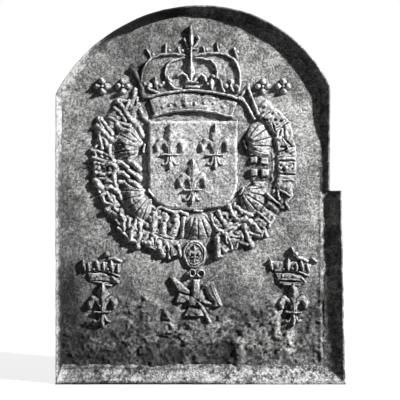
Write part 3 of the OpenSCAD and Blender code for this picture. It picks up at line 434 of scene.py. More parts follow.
class Relief:
    """A sheet of heights in which an ornament is modelled, and from which its piece is cut."""

    footprints = []

    def __init__(self, x0, z0, x1, z1, step=1.1, wobble=1.0):
        self.xs = np.arange(x0, x1 + step, step)
        self.zs = np.arange(z0, z1 + step, step)
        self.h = np.zeros((len(self.zs), len(self.xs)))
        self.wobble = wobble

    def window(self, points, reach):
        """The part of the sheet within reach of points, and its places as a hand-cut stamp has them."""
        points = np.asarray(points, float).reshape(-1, 2)
        x0, z0 = points.min(0) - reach
        x1, z1 = points.max(0) + reach
        cols = slice(*np.searchsorted(self.xs, [x0, x1]))
        rows = slice(*np.searchsorted(self.zs, [z0, z1]))
        x, z = np.meshgrid(self.xs[cols], self.zs[rows])
        # A hand-cut stamp is nowhere quite straight
        dx = waves(x, z, (1.3, 12, 61), (0.7, 5, 62))
        dz = waves(x, z, (1.3, 12, 63), (0.7, 5, 64))
        return (rows, cols), x + self.wobble * dx, z + self.wobble * dz

    def merge(self, where, h, crease):
        self.h[where] = smooth_max(self.h[where], h, crease)

    def path(self, points, widths, rise, power=2.4, crease=CREASE):
        """A rounded band along points, whose widths are spread evenly along it."""
        points = [tuple(p) for p in points]
        widths = np.interp(np.linspace(0, 1, len(points)), np.linspace(0, 1, len(widths)), widths)
        where, x, z = self.window(points, max(widths))
        best = np.full(x.shape, 9.0)
        for i in range(len(points) - 1):
            d, t = to_segment(x, z, points[i], points[i + 1])
            best = np.minimum(best, d / (0.5 * (widths[i] * (1 - t) + widths[i + 1] * t)))
        self.merge(where, rise * (1 - np.minimum(best, 1.6) ** power), crease)

    def leaf(self, p, q, width, rise, widest=0.5, keel=0.25, crease=CREASE):
        """A pointed leaf from p to q with a keel along its middle."""
        where, x, z = self.window([p, q], width)
        length = math.hypot(q[0] - p[0], q[1] - p[1])
        ux, uz = (q[0] - p[0]) / length, (q[1] - p[1]) / length
        t = ((x - p[0]) * ux + (z - p[1]) * uz) / length
        side = np.abs((z - p[1]) * ux - (x - p[0]) * uz)
        s = np.clip(np.where(t < widest, t / widest / 2, 0.5 + (t - widest) / (1 - widest) / 2), 0.0, 1.0)
        half = np.maximum(0.5 * width * np.sin(math.pi * s) ** 0.85, 0.35)
        beyond = np.maximum(np.maximum(-t, t - 1), 0) * length
        d = np.minimum((side + 2 * beyond) / half, 1.6)
        self.merge(where, rise * ((1 - d**2.2) * (1 - keel) + (1 - d) * keel), crease)

    def oval(self, c, w, h, rise, power=2.0, crease=CREASE):
        where, x, z = self.window([c], 0.8 * max(w, h))
        r = np.minimum(np.hypot((x - c[0]) / (w / 2), (z - c[1]) / (h / 2)), 1.5)
        self.merge(where, rise * (1 - r**power), crease)

    def ring(self, c, w, h, band, rise, power=2.2, crease=CREASE):
        where, x, z = self.window([c], 0.8 * max(w, h))
        rx, rz = (w - band) / 2, (h - band) / 2
        r = np.hypot((x - c[0]) / rx, (z - c[1]) / rz) + 1e-6
        d = np.abs(r - 1) * np.hypot(x - c[0], z - c[1]) / r
        self.merge(where, rise * (1 - np.minimum(d / (band / 2), 1.5) ** power), crease)

    def polygon(self, points, rise, bevel, crease=CREASE):
        """A flat-topped form with rounded sides, bevel mm wide, within an outline."""
        points = np.asarray(points, float)
        where, x, z = self.window(points, 3)
        inside = np.zeros(x.shape, bool)
        d = np.full(x.shape, 1e9)
        for p, q in zip(points, np.roll(points, -1, 0)):
            d = np.minimum(d, to_segment(x, z, p, q)[0])
            if p[1] != q[1]:
                crossed = (p[1] > z) != (q[1] > z)
                inside ^= crossed & (x < p[0] + (z - p[1]) * (q[0] - p[0]) / (q[1] - p[1]))
        t = np.clip(np.where(inside, d, -d) / bevel, -0.4, 1)
        self.merge(where, rise * (1 - (1 - t) ** 2), crease)

    def groove(self, points, width, depth):
        """A hollow along points."""
        where, x, z = self.window(points, width)
        d = np.min([to_segment(x, z, p, q)[0] for p, q in zip(points[:-1], points[1:])], 0)
        self.h[where] -= depth * (1 - smooth(d / (0.6 * width)))

    def draw(self, strokes):
        """Adds strokes, each given by its kind, its sizes and its points."""
        for kind, sizes, points in strokes:
            if kind == "path":
                self.path(points, sizes[:1], sizes[1], 2.1, FINE_CREASE)
            elif kind == "leaf":
                self.leaf(*points, *sizes, 0.5, 0.35, FINE_CREASE)
            elif kind in ("disc", "oval"):
                self.oval(points[0], sizes[0], sizes[-2], sizes[-1], 2.2, FINE_CREASE)
            elif kind == "bed":
                self.polygon(points, sizes[0], BED_BEVEL, FINE_CREASE)
            elif kind == "groove":
                self.groove(points, *sizes)
            elif kind == "pit":
                self.groove(points * 2, *sizes)

    def done(self, name, base=0.0, limit=None, wear=1.0):
        """Cuts the piece out of the sheet as a closed body whose foot lies inside what carries it."""
        x, z = np.meshgrid(self.xs, self.zs)
        h = self.h * (1 + wear * waves(x, z, (0.16, 13, 24), (0.14, 6.5, 25))) - SKIN
        rubbed = smooth(h / 3) * wear
        h = h + rubbed * (waves(x, z, (0.42, 9, 21), (0.3, 4.2, 22), (0.15, 2.3, 23)) - 0.25)
        h = np.clip(h, 0, limit)
        # Against the close and the wider surroundings, so that narrow gaps and deep hollows both get
        # painted shade
        ridge = np.clip(0.75 * (h - soften(h, 9)) / 1.6 + 0.5 * (h - soften(h, 40)) / 4, -1, 1)
        # The painted shade in the hollows is deepest on the right
        ridge = ridge * np.where(ridge < 0, 1.15 + 0.7 * smooth((x + 60) / 160), 1)
        keep = h > 0.02
        keep[0] = keep[-1] = False
        keep[:, 0] = keep[:, -1] = False
        cells = keep[:-1, :-1] | keep[1:, :-1] | keep[:-1, 1:] | keep[1:, 1:]
        # Where two cells meet at a corner only, a third one joins them
        for _ in range(3):
            cells[1:, :-1] |= cells[:-1, :-1] & cells[1:, 1:] & ~cells[:-1, 1:]
            cells[1:, 1:] |= cells[:-1, 1:] & cells[1:, :-1] & ~cells[:-1, :-1]
        used = np.zeros(h.shape, bool)
        for dr in (0, 1):
            for dc in (0, 1):
                used[dr : h.shape[0] - 1 + dr, dc : h.shape[1] - 1 + dc] |= cells
        edge = used & ~keep
        top = field(x, z) * (1.0 if base == 0 else 0.6) + base + np.where(edge, -TOE_SINK, h)
        count = int(used.sum())
        number = np.full(h.shape, -1)
        number[used] = np.arange(count)
        front = points_at(x[used], -FACE - top[used], z[used])
        back = points_at(x[used], -FACE - base + FOOT_DEPTH, z[used])
        r, c = np.nonzero(cells)
        a, b, d, e = number[r, c], number[r, c + 1], number[r + 1, c + 1], number[r + 1, c]
        faces = quads(a, b, d, e) + quads(e + count, d + count, b + count, a + count)
        grown = np.pad(cells, 1)
        for dr, dc, p, q in ((-1, 0, a, b), (0, 1, b, d), (1, 0, d, e), (0, -1, e, a)):
            open_side = ~grown[r + 1 + dr, c + 1 + dc]
            p, q = p[open_side], q[open_side]
            faces += quads(q, p, p + count, q + count)
        # Painted shade where the relief is lowest, next to what carries it
        painted_shade = 0.6 * smooth((2.2 - h) / 2.2) * ~edge
        Relief.footprints.append((x[keep], z[keep], h[keep]))
        marks = {"ridge": ridge[used], "painted_shade": painted_shade[used]}
        piece(name, np.concatenate([front, back]), faces, RELIEF, marks)


# ---- Shield ----
def shield_outline():
    flank = SHIELD_FLANK - SHIELD_INSET
    half, foot, corner = SHIELD_W / 2 + flank, SHIELD_H + flank, SHIELD_CORNER + flank
    right = [(half, 0)]
    for a in np.radians(np.linspace(0, -90, 14)):
        right.append((half - corner + corner * math.cos(a), corner - foot + corner * math.sin(a)))
    right.append((0, -foot - SHIELD_POINT + SHIELD_INSET))
    return [(x, SHIELD_Z + z) for x, z in right] + [(-x, SHIELD_Z + z) for x, z in right[-2::-1]]


sheet_half = SHIELD_W / 2 + 15.5
r = Relief(-sheet_half, SHIELD_Z - SHIELD_H - 18, sheet_half, SHIELD_Z + 6)
r.polygon(shield_outline(), SHIELD_RISE, 8)
r.done("shield", limit=SHIELD_RISE + 0.6, wear=0.3)


def fleur(r, x, z, h, rise, bold=1.0):
    """A fleur-de-lis that stands at (x, z): keeled petals, a tie and three feet."""

    def at(points):
        return [(x + u * h, z + v * h) for u, v in points]

    def widths(*shares):
        return [bold * w * h for w in shares]

    r.leaf(*at([(0, 0.31), (0, 1.02)]), 0.33 * h, rise, 0.5, 0.5)
    for s in (-1, 1):
        petal = [(0.035, 0.31), (0.05, 0.48), (0.12, 0.6), (0.21, 0.62), (0.28, 0.53), (0.27, 0.43)]
        r.path(at([(s * u, v) for u, v in petal]), widths(0.05, 0.08, 0.13, 0.18, 0.18, 0.1), 0.85 * rise)
        foot = curve([(0.04 * s, 0.28), (0.06 * s, 0.14), (0.12 * s, 0.08), (0.17 * s, 0.12)], 8)
        r.path(at(foot), widths(0.05, 0.07, 0.07), 0.6 * rise)
    r.leaf(*at([(0, 0.31), (0, -0.01)]), 0.16 * h, 0.8 * rise, 0.5, 0.3)
    r.path(at([(-0.18, 0.32), (0.17, 0.32)]), widths(0.055), rise, 2.6)


for name, x, z in (
    ("left_fleur_de_lis", -53.5, SHIELD_Z - 118),
    ("right_fleur_de_lis", 53.5, SHIELD_Z - 118),
    ("lower_fleur_de_lis", 0, SHIELD_Z - SHIELD_H + 6),
):
    r = Relief(x - 48, z - 4, x + 48, z + LIS_H + 4, 0.9)
    fleur(r, x, z, LIS_H, LIS_RISE)
    r.done(name, base=SHIELD_RISE - 0.6, limit=LIS_RISE + 0.4, wear=0.6)


# ---- Strokes of the ornaments ----
# Each stroke has its kind, its sizes in mm with the height last, and its points x,z in mm from the
# centre of the arms. A semicolon parts it from the next one.
STROKES = {
    "left_ribbon": """
        path 13.4 10 -146,225 -131,198 -122,172 -115,155; path 15 9 -139,174 -141,155 -150,131;
        path 13.4 8 -134,155 -129,141 -141,124; path 20.1 9 -144,129 -144,105 -132,83 -122,67;
        path 15 7 -127,129 -119,110 -105,98""",
    "right_ribbon": """
        path 10.9 11 132,180 139,158 148,137 156,118; path 9.9 9 115,156 127,141 139,120 146,106;
        path 9.3 7 134,187 122,173 110,156""",
    "left_lances": """
        path 16.7 12.6 -180,147 -163,126; path 12.5 10.3 -177,148 -153,148;
        path 14.6 11.5 -153,148 -161,126; path 16.7 12.6 -187,131 -175,119 -161,102;
        path 18.8 13.8 -199,109 -182,97 -154,90; path 20.9 14.9 -183,94 -168,80 -152,75;
        path 18.8 13.8 -161,121 -147,102; path 16.7 12.6 -218,104 -206,90 -194,71;
        path 18.8 13.8 -228,88 -206,68 -190,52; path 13.4 11.5 -187,52 -175,59 -165,64 -156,50 -144,36;
        path 14.6 11.5 -225,107 -215,83""",
    "left_spear": """
        path 19.3 13.8 -223,73 -221,56 -216,35; path 19.3 13.8 -209,56 -204,37;
        path 12.9 12.6 -225,45 -242,31 -222,26 -203,19; path 17.2 13.8 -199,40 -199,18 -190,4;
        path 15 13.8 -237,14 -218,7 -194,4; path 12.9 11.5 -234,28 -230,14""",
    "left_clasps": """
        path 14.2 12.6 -234,0 -211,-3; path 24.4 14.9 -204,-1 -185,-11 -190,-32;
        path 16.2 13.8 -232,-22 -216,-27 -196,-22; path 24.4 14.9 -231,-42 -226,-51 -216,-61;
        path 16.2 13.8 -208,-60 -196,-58 -182,-67; path 12.2 12.6 -210,-43 -196,-43;
        path 12.2 11.5 -225,-36 -206,-38 -191,-36; disc 13.1 12.6 -224,-9; disc 10.7 12.6 -211,-8;
        disc 20.3 14.9 -196,-12; path 16.2 13.8 -204,9 -194,-3""",
    "left_lozenge": """
        path 15 13.8 -218,-77 -206,-72 -194,-91; path 15 13.8 -216,-79 -211,-94 -196,-98;
        path 12.9 12.6 -194,-91 -184,-98; path 17.2 13.8 -206,-111 -192,-118 -180,-130;
        path 15 12.6 -204,-108 -192,-96; path 17.2 13.8 -194,-103 -182,-113; disc 10.7 13.8 -224,-69""",
    "left_leaf_spray": """
        path 20.3 13.8 -171,-123 -163,-137; leaf 24.4 13.8 -164,-133 -164,-164;
        path 12.2 11.5 -179,-155 -153,-177; leaf 32.5 14.9 -137,-132 -149,-182;
        path 16.2 12.6 -151,-134 -153,-153; path 12.2 10.3 -184,-136 -172,-150""",
    "left_crossed_staves": """
        path 17.2 13.8 -127,-144 -125,-168 -132,-199; path 15 12.6 -144,-151 -134,-160;
        path 17.2 12.6 -151,-182 -137,-187; path 17.2 13.8 -120,-187 -101,-192;
        path 12.9 11.5 -103,-198 -91,-206; path 12.9 12.6 -98,-182 -94,-194;
        bed 9.2 -117,-143 -100,-150 -86,-167 -95,-176 -110,-167""",
    "left_banners": """
        path 19.7 14.9 -82,-189 -79,-206 -72,-218; bed 12.6 -57,-196 -50,-196 -38,-198 -31,-222 -55,-224;
        path 10.7 12.6 -60,-198 -57,-227; path 12.5 13.8 -36,-196 -31,-219;
        path 10.7 11.5 -88,-181 -88,-203; path 10.7 11.5 -55,-212 -36,-212""",
    "right_lances": """
        bed 6.9 155,127 165,143 179,148 205,127 227,105 236,84 241,62 222,50 198,60 179,93 158,110;
        path 11.1 13.8 162,110 179,124; groove 6 5 158,110 177,103; groove 4.3 5 189,96 196,74 227,96;
        groove 7.2 6 208,77 201,48; groove 5.3 5 215,84 220,65; groove 7.2 6 212,62 212,50;
        pit 7.2 5.8 208,100; pit 8.4 5.8 196,103; pit 7.2 5.8 189,117; pit 7.2 5.8 224,117;
        path 9 11.5 196,84 218,101; path 8.3 10.3 184,106 198,86""",
    "right_spear": """
        bed 7.5 201,50 222,65 239,60 248,38 248,15 203,15 198,31; groove 6 5 224,53 234,41;
        groove 5.3 5 198,24 241,41; groove 7.2 4 210,38 217,38; path 9 11.5 203,15 239,29;
        path 9 10.3 215,58 229,32""",
    "right_clasps": """
        bed 8 201,15 248,17 248,-40 201,-45; groove 6 5 212,22 212,15; groove 5.3 5 205,5 244,5;
        groove 6.2 6 198,-24 244,-28; path 10.4 11.5 213,10 241,10; path 9 10.3 203,-38 239,-40;
        oval 21.5 17.9 13.2 222,-11; pit 7.2 5.8 209,-6; pit 7.2 5.8 237,-13; pit 6.2 5.8 239,-2;
        pit 6.2 5.8 210,-18""",
    "right_lozenge": """
        bed 6.9 208,-50 239,-48 241,-81 217,-110 184,-114 181,-88; groove 9.5 6 208,-67 229,-79;
        path 13.4 13.8 176,-74 191,-88 207,-100; path 9.9 13.8 203,-67 205,-86;
        path 9.2 12.6 208,-64 232,-78; groove 4.8 5 186,-88 205,-102; disc 21.5 10.3 196,-105;
        path 11.5 11.5 220,-91 227,-107""",
    "right_leaf_spray": """
        path 11.7 12.6 157,-119 172,-131 184,-143; path 12.5 11.5 160,-139 172,-160;
        oval 14.3 9.5 12.6 174,-113; path 12.5 11.5 162,-174 169,-155 176,-174;
        path 23 13.8 135,-142 147,-149 158,-164; path 14.6 12.6 116,-115 138,-125;
        path 12.5 10.3 181,-151 191,-131""",
    "right_crossed_staves": """
        path 18.7 13.8 123,-151 133,-187 140,-196; path 14.2 12.6 133,-165 157,-175;
        path 12.2 12.6 88,-174 117,-177; path 12.2 11.5 95,-184 110,-184; path 14.2 12.6 112,-189 128,-194;
        path 12.2 11.5 86,-172 95,-158 107,-148; path 12.2 11.5 83,-170 88,-186 93,-203;
        path 12.2 11.5 110,-186 100,-201""",
    "right_banner": """
        path 19.7 16.1 57,-182 61,-201 59,-222; path 14.3 13.8 62,-193 76,-210;
        path 12.5 11.5 60,-215 67,-222; path 10.7 11.5 79,-169 81,-191""",
    "lower_left_bars": """
        path 10.7 11.5 -100,-138 -93,-121 -86,-110 -76,-105 -62,-112 -45,-117 -29,-117 -14,-124;
        path 23.3 13.8 -92,-120 -92,-139 -96,-161; path 21.5 13.8 -68,-122 -68,-144 -72,-163;
        path 23.3 13.8 -42,-125 -39,-144 -49,-168; path 14.3 12.6 -22,-131 -22,-153 -26,-172;
        path 10.7 10.3 -100,-164 -74,-172 -48,-179""",
    "lower_right_bars": """
        path 13 13.8 43,-124 48,-143 57,-160 71,-165; path 18.5 13.8 61,-120 71,-137 81,-151 90,-146;
        path 18.5 13.8 85,-103 95,-122 107,-137 126,-132; path 11.1 11.5 55,-172 79,-160 105,-143;
        path 13 12.6 107,-105 117,-119""",
    "left_knots": """
        path 15.5 13.8 -178,2 -167,-1 -157,-10; path 17.9 14.9 -155,6 -142,0 -129,-14;
        path 14.9 13.8 -178,-22 -167,-23 -155,-33; path 17.9 14.9 -153,-19 -141,-24 -128,-37;
        path 14.3 13.8 -174,-45 -164,-46 -155,-54; path 16.7 14.9 -153,-43 -141,-46 -128,-58""",
    "right_knots": """
        bed 12 135,15 153,16 154,-1 136,-1; bed 13 159,15 181,13 181,-5 160,-3;
        bed 12 136,-13 155,-13 155,-32 138,-32; bed 13 161,-13 184,-13 181,-34 162,-33;
        bed 12 141,-43 174,-42 167,-59 146,-58; path 7.2 10 139,21 163,24 180,21""",
    "crown_left_outer_arch": """
        path 7.6 9 -16,258 -35,259 -56,261 -78,259 -97,251 -111,238 -121,221 -124,202 -123,183 -118,168""",
    "crown_right_outer_arch": """
        path 7.6 8.5 6,258 22,260 42,263 63,263 82,258 99,246 110,228 113,206 112,187 107,171""",
    "crown_left_inner_arch": "path 7.6 8 -21,252 -37,248 -54,242 -64,230 -66,214 -61,197",
    "crown_right_inner_arch": "path 7.6 10 8,251 25,249 42,246 53,235 58,218 56,202",
    "crown_centre_arch": "path 6.7 13 -5,206 -5,269",
    "crown_fleurons": """
        leaf 21.5 12 -4,191 -4,246; path 9.5 11 -11,197 -16,208 -25,214 -35,209;
        path 9.5 11 2,197 8,206 18,212 27,208 30,197; path 6.7 12 -16,195 11,193;
        path 7.6 10 -16,183 13,182; disc 14.3 12 92,194; disc 12.9 11 80,184; disc 12.9 11 105,183;
        path 8.1 10 90,187 95,173; path 8.1 10 65,199 69,185 75,171; leaf 19.1 11 45,174 43,203;
        disc 11.9 10 36,189; path 7.2 9 -61,209 -56,190 -44,180 -28,177; disc 14.3 10 -55,196;
        disc 15.3 10 -103,184; leaf 16.7 9 -86,174 -91,208; disc 12.9 9 -78,186; disc 11 9 -116,189;
        path 8.1 9 -106,178 -80,166""",
    "crown_pearls": """
        path 7.6 7.5 61,264 57,288; disc 10.5 8 65,280; path 8.1 7 106,249 98,273; disc 9.5 8 106,265;
        path 7.6 7 30,259 24,278; disc 10.5 8 33,271; path 7.2 7 -64,261 -65,285; disc 9.5 7 -57,270;
        path 7.2 6 -99,249 -110,271; disc 9.1 6.5 -95,260; path 7.2 6.5 -30,259 -34,276; disc 8.6 7 -26,269;
        disc 11.9 10 49,208; disc 8.6 9 60,203; disc 11.9 9 -72,191""",
    "crown_finial": """
        leaf 15.3 13 -4,261 -5,333; path 8.1 11 0,276 8,284 14,294 11,302;
        path 7.6 8 -9,278 -16,286 -22,296; path 7.2 10 -11,273 8,273""",
    "crown_jewels": """
        oval 10.7 10.7 5 -71,134; oval 11 16.7 4.5 -40,140; bed 4.6 -26,142 -17,151 -7,142 -17,133;
        oval 10.5 15.3 4.5 5,142; disc 11.9 5 26,143; disc 8.6 4.5 50,141; oval 19.1 14.3 5 73,134;
        groove 4.3 3 -7,151 19,152; disc 8.1 4.5 -55,137""",
    "left_small_crown": """
        bed 7 -263,-231 -241,-236 -215,-234 -191,-236 -171,-239 -175,-267 -181,-287 -212,-290 -246,-284
            -255,-258; leaf 14.3 12 -257,-259 -263,-228; leaf 15.3 12 -247,-259 -250,-235;
        leaf 19.1 14 -222,-258 -232,-231; disc 11 11 -236,-253; leaf 14.3 11 -212,-257 -214,-235;
        disc 11.9 11 -203,-253; leaf 19.1 14 -191,-262 -195,-231; leaf 15.8 12 -178,-264 -179,-240;
        path 10.5 10 -200,-228 -188,-227 -173,-234; disc 16.7 13 -205,-217; path 8.6 12 -200,-260 -177,-269;
        disc 11 10 -241,-271; disc 10.5 10 -227,-269; oval 16.7 8.1 10.5 -210,-268;
        oval 19.1 7.6 10.5 -206,-278; path 11.9 12 -192,-272 -180,-283; path 7.2 9 -214,-289 -195,-292;
        groove 6.2 5 -251,-261 -222,-260 -198,-264 -181,-272; groove 5.3 4 -241,-281 -212,-282 -191,-285""",
    "right_small_crown": """
        bed 7 181,-231 212,-234 236,-234 263,-235 284,-241 279,-267 270,-291 236,-292 205,-289 193,-258;
        path 11.9 10 249,-226 259,-227 271,-234; disc 16.7 13 245,-217; path 7.2 11 236,-202 240,-211;
        leaf 14.3 12 190,-257 184,-228; oval 15.3 22.4 12 201,-245; leaf 21.5 14 227,-258 227,-227;
        disc 10.5 11 216,-253; disc 11.9 11 237,-252; leaf 14.3 12 247,-260 247,-238;
        leaf 16.7 13 263,-260 257,-231; leaf 15.8 12 278,-261 270,-238; path 9.5 9 285,-228 295,-235;
        path 9.5 12 254,-260 275,-269; disc 11.5 11 214,-269; oval 16.7 8.1 10.5 241,-269;
        path 7.6 11 209,-278 230,-277 252,-279; path 9.5 10 259,-273 268,-283; path 7.2 9 216,-289 256,-291;
        groove 5.7 5 198,-261 232,-261 263,-266; groove 5.3 5 208,-281 255,-283""",
    "pendant_cross": """
        bed 12.5 -56,-271 -43,-272 -8,-303 -8,-327 -24,-335 -45,-334 -35,-310;
        bed 12 12,-305 37,-280 49,-280 72,-340 55,-344 12,-332; bed 12 -7,-332 17,-332 29,-367 -24,-367;
        bed 13 0,-277 17,-277 18,-327 -4,-327; groove 8.6 7 -41,-307 -12,-314;
        groove 20.5 9 25,-304 32,-322 44,-334; groove 12.9 8 -10,-343 12,-345;
        path 11.9 13.5 11,-332 24,-347 39,-378; path 6.7 9 25,-292 42,-278 56,-270;
        path 10.5 14 43,-290 50,-312 65,-339""",
}


def strokes_of(name):
    """The strokes of an ornament as (kind, sizes, points), with the points at their places on the plate."""
    for stroke in STROKES[name].split(";"):
        kind, *words = stroke.split()
        sizes = [float(word) for word in words if "," not in word]
        points = [[float(part) for part in word.split(",")] for word in words if "," in word]
        yield kind, sizes, [(x, ARMS_Z + z) for x, z in points]


def oval_sheet(rx, rz, half, start, end, mirror):
    """An empty sheet that takes in a band along an oval round the arms."""
    outline = band_outline(rx, rz, half, start, end, mirror, 20)
    return Relief(*(outline.min(0) - BAND_MARGIN), *(outline.max(0) + BAND_MARGIN))


def drawn(name, bed=None, bed_rise=BED_RISE, wobble=1.0, grow=1.0, **how):
    """A piece made from the strokes of its name, over an optional lumpy bed along an oval.

    The bed is given by the oval's half axes, its own half width, two angles and its side.
    All heights are multiplied by grow.
    """
    strokes = list(strokes_of(name))
    points = np.array([p for _, _, line in strokes for p in line])
    low, high = points.min(0) - STROKE_MARGIN, points.max(0) + STROKE_MARGIN
    if bed:
        sheet = oval_sheet(*bed)
        low = np.minimum(low, (sheet.xs[0], sheet.zs[0]))
        high = np.maximum(high, (sheet.xs[-1], sheet.zs[-1]))
    r = Relief(*low, *high, wobble=wobble)
    if bed:
        r.polygon(band_outline(*bed, 24), bed_rise, BAND_BEVEL)
        x, z = np.meshgrid(r.xs, r.zs)
        r.h *= np.clip(1 + waves(x, z, (0.4, 9, 71), (0.25, 17, 72)), 0.25, 1.6)
    r.draw(strokes)
    r.h *= grow
    r.done(name, **how)


# ---- Crown ----
def arc(radius, start=-17.5, end=CIRCLET_ANGLE):
    """Points along a circle round the centre to which the circlet is curved."""
    a = np.radians(np.linspace(start, end, 30))
    return list(zip(CROWN_X + radius * np.sin(a), CROWN_Z - CIRCLET_R + radius * np.cos(a)))


r = Relief(-132, 620, 126, 708)
r.polygon(arc(CIRCLET_R + CIRCLET_H + GROOVE) + arc(CIRCLET_R)[::-1], 8, 2.5)
r.polygon(arc(CIRCLET_R + CIRCLET_H) + arc(CIRCLET_R)[::-1], 9.5, 4)
r.path(arc(CIRCLET_TOP_R - ROLL_D / 2, -19, 20.5), [ROLL_D], 15.5, 2.0)
r.path(arc(CIRCLET_R + 4), [9], 12.5, 2.2)
r.done("crown_circlet", wear=0.8)
drawn("crown_jewels", base=8.5, wear=0.5)
drawn("crown_fleurons", wobble=0.7)
for side in ("left", "right"):
    for kind in ("outer", "inner"):
        drawn(f"crown_{side}_{kind}_arch")
drawn("crown_centre_arch")
drawn("crown_pearls")
drawn("crown_finial", wobble=0.6)
drawn("left_ribbon")
drawn("right_ribbon")


# ---- Shells ----
# Width of the valleys between a shell's ribs, and height of the ribs over the dome
VALLEY_W, RIB_RISE = 1.7, 1.9


def shell(name, x0, z0, angle, width, length, rise, peak):
    """A scallop: a dome over its hinge, with ribs that fan out to a scalloped rim."""
    z0 += ARMS_Z
    reach = 0.62 * max(width, length)
    r = Relief(x0 - reach, z0 - reach, x0 + reach, z0 + reach, 1.0)
    x, z = np.meshgrid(r.xs, r.zs)
    u, v = turned(x - x0, z - z0, -angle)
    # Round the middle of the ribs' fan, a little beyond the inner end
    u = u + 0.6 * length
    spread = 1.2 * math.atan2(0.5 * width, 0.46 * length)
    phi = np.arctan2(v, np.maximum(u, 1e-3))
    rho = np.hypot(u, v) / (1.1 * length)
    across = np.clip(1 - (phi / spread) ** 2, 0, 1)
    # Narrow valleys between six ribs
    valley = 3 * phi / spread
    valley = np.abs(valley - np.round(valley)) * spread / 3 * rho * 1.1 * length
    fan = 1 - 1.6 * bell(valley / VALLEY_W)
    rim = (0.88 + 0.12 * across) * (1 + 0.02 * fan)
    t = np.clip(rho / rim, 0, 1)
    dome = (1 - np.where(t < peak, 1 - t / peak, (t - peak) / (1 - peak)) ** 1.35) * across**0.6
    h = rise * dome + RIB_RISE * fan * smooth((t - 0.2) / 0.3) * smooth(dome / 0.3)
    r.merge((slice(None), slice(None)), np.where(dome > 0.02, h, -3), 1.0)
    hinge = [turned(-0.5 * length, side * 0.14 * width, angle) for side in (-1, 1)]
    r.path([(x0 + p, z0 + q) for p, q in hinge], [8], 0.8 * rise, 2.2, FINE_CREASE)
    r.done(name, wear=0.8)


shell("upper_left_shell", -153, 42, 169, 62, 72, 21, 0.6)
shell("lower_left_shell", -132, -92, 213, 66, 74, 21, 0.6)
shell("bottom_shell", 12, -149, 271, 66, 70, 20, 0.45)
shell("lower_right_shell", 143, -84, 329, 60, 62, 19, 0.4)
shell("upper_right_shell", 155, 53, 17, 60, 66, 20, 0.4)

# ---- Between the shells ----
drawn("left_knots", bed=(INNER_RX, INNER_RZ, 19, 179.5, 203, 1), bed_rise=4.5, wobble=0.6)
drawn("right_knots", bed=(INNER_RX, INNER_RZ, 19, 341, 364.5, 1), bed_rise=4.5, wobble=0.6)
drawn("lower_left_bars", bed=(INNER_RX, INNER_RZ, 19, 226, 259, 1))
drawn("lower_right_bars", bed=(INNER_RX, INNER_RZ, 19, 284, 315.5, 1))

# ---- Cord: the twisted line between the collars, nearly worn away on the right ----
for side, s, d, rise, bead in (("left", -1, 13, 9, 0.22), ("right", 1, 7, 2.2, 0.16)):
    r = oval_sheet(CORD_RX, CORD_RZ, 8, CORD_END, CORD_START, s)
    angles = np.linspace(CORD_START, CORD_END, 330)
    twist = 1 + bead * np.sin(angles * 1.35)
    a = np.radians(angles)
    r.path(np.stack([s * CORD_RX * np.cos(a), ARMS_Z + CORD_RZ * np.sin(a)], 1), d * twist, rise, 2.0)
    r.done(f"{side}_collar_cord")

# ---- Outer collar: the angles between which each link's bed lies ----
BEDS = {
    "lances": (43.5, 20), "spear": (20, 2.5), "clasps": (2.5, -18.5), "lozenge": (-18.5, -33),
    "leaf_spray": (-33, -47.2), "crossed_staves": (-47.2, -61.5), "banners": (-61.5, -81),
    "banner": (-61.5, -74),
}
for side, s in (("left", -1), ("right", 1)):
    for link, (start, end) in BEDS.items():
        if f"{side}_{link}" in STROKES:
            # The links low on the left cast the longest shadows
            tall = 1.25 if s < 0 and start < -30 else 1.0
            drawn(f"{side}_{link}", bed=(OUTER_RX, OUTER_RZ, BED_W / 2, start, end, s), grow=tall)

# ---- Pendants ----
box = (MEDALLION_X - 33, MEDALLION_Z - 39, MEDALLION_X + 33, MEDALLION_Z + 39)
inner_rx, inner_rz = 21, 26.5
r = Relief(*box, 0.9)
r.oval((MEDALLION_X, MEDALLION_Z), MEDALLION_W + 2, MEDALLION_H + 2, 13, 7)
around = np.radians(np.linspace(0, 360, 37))
inner_rim = [(MEDALLION_X + inner_rx * math.cos(a), MEDALLION_Z + inner_rz * math.sin(a)) for a in around]
r.groove(inner_rim, 5.5, 6)
# A lily on the sunken ground inside the rim
lily = Relief(*box, 0.9, 0.4)
fleur(lily, MEDALLION_X, MEDALLION_Z - 21, 42, 6, 1.3)
x, z = np.meshgrid(r.xs, r.zs)
inside = smooth((1 - np.hypot((x - MEDALLION_X) / inner_rx, (z - MEDALLION_Z) / inner_rz)) / 0.16)
r.h = r.h * (1 - inside) + (6.5 + lily.h) * inside
r.done("medallion", wear=0.6)

r = Relief(-20, RING_Z - 16, 34, RING_Z + 16, 0.8)
for x in (-1, 18.5):
    r.ring((x, RING_Z), RING_D, RING_D + 2, 6, 12, crease=0.8)
r.oval((-12, RING_Z), 13, 13, 11, 2.0, 0.8)
r.done("medallion_rings")

drawn("pendant_cross", wobble=0.5, wear=0.6)
r = Relief(-15, CROSS_Z - 15, 15, CROSS_Z + 15, 0.8)
r.oval((0, CROSS_Z), 22, 22, 5)
r.done("cross_boss", base=9.5, limit=5.4)

# ---- Small crowns and the devices under them ----
drawn("left_small_crown", wobble=0.4, wear=0.5)
drawn("right_small_crown", wobble=0.4, wear=0.5)
for name, x in (("left_device", LEFT_DEVICE_X), ("right_device", RIGHT_DEVICE_X)):
    r = Relief(x - 46, DEVICE_Z - 4, x + 46, DEVICE_Z + DEVICE_H + 4)
    fleur(r, x, DEVICE_Z, DEVICE_H, 15, 1.1)
    r.done(name)

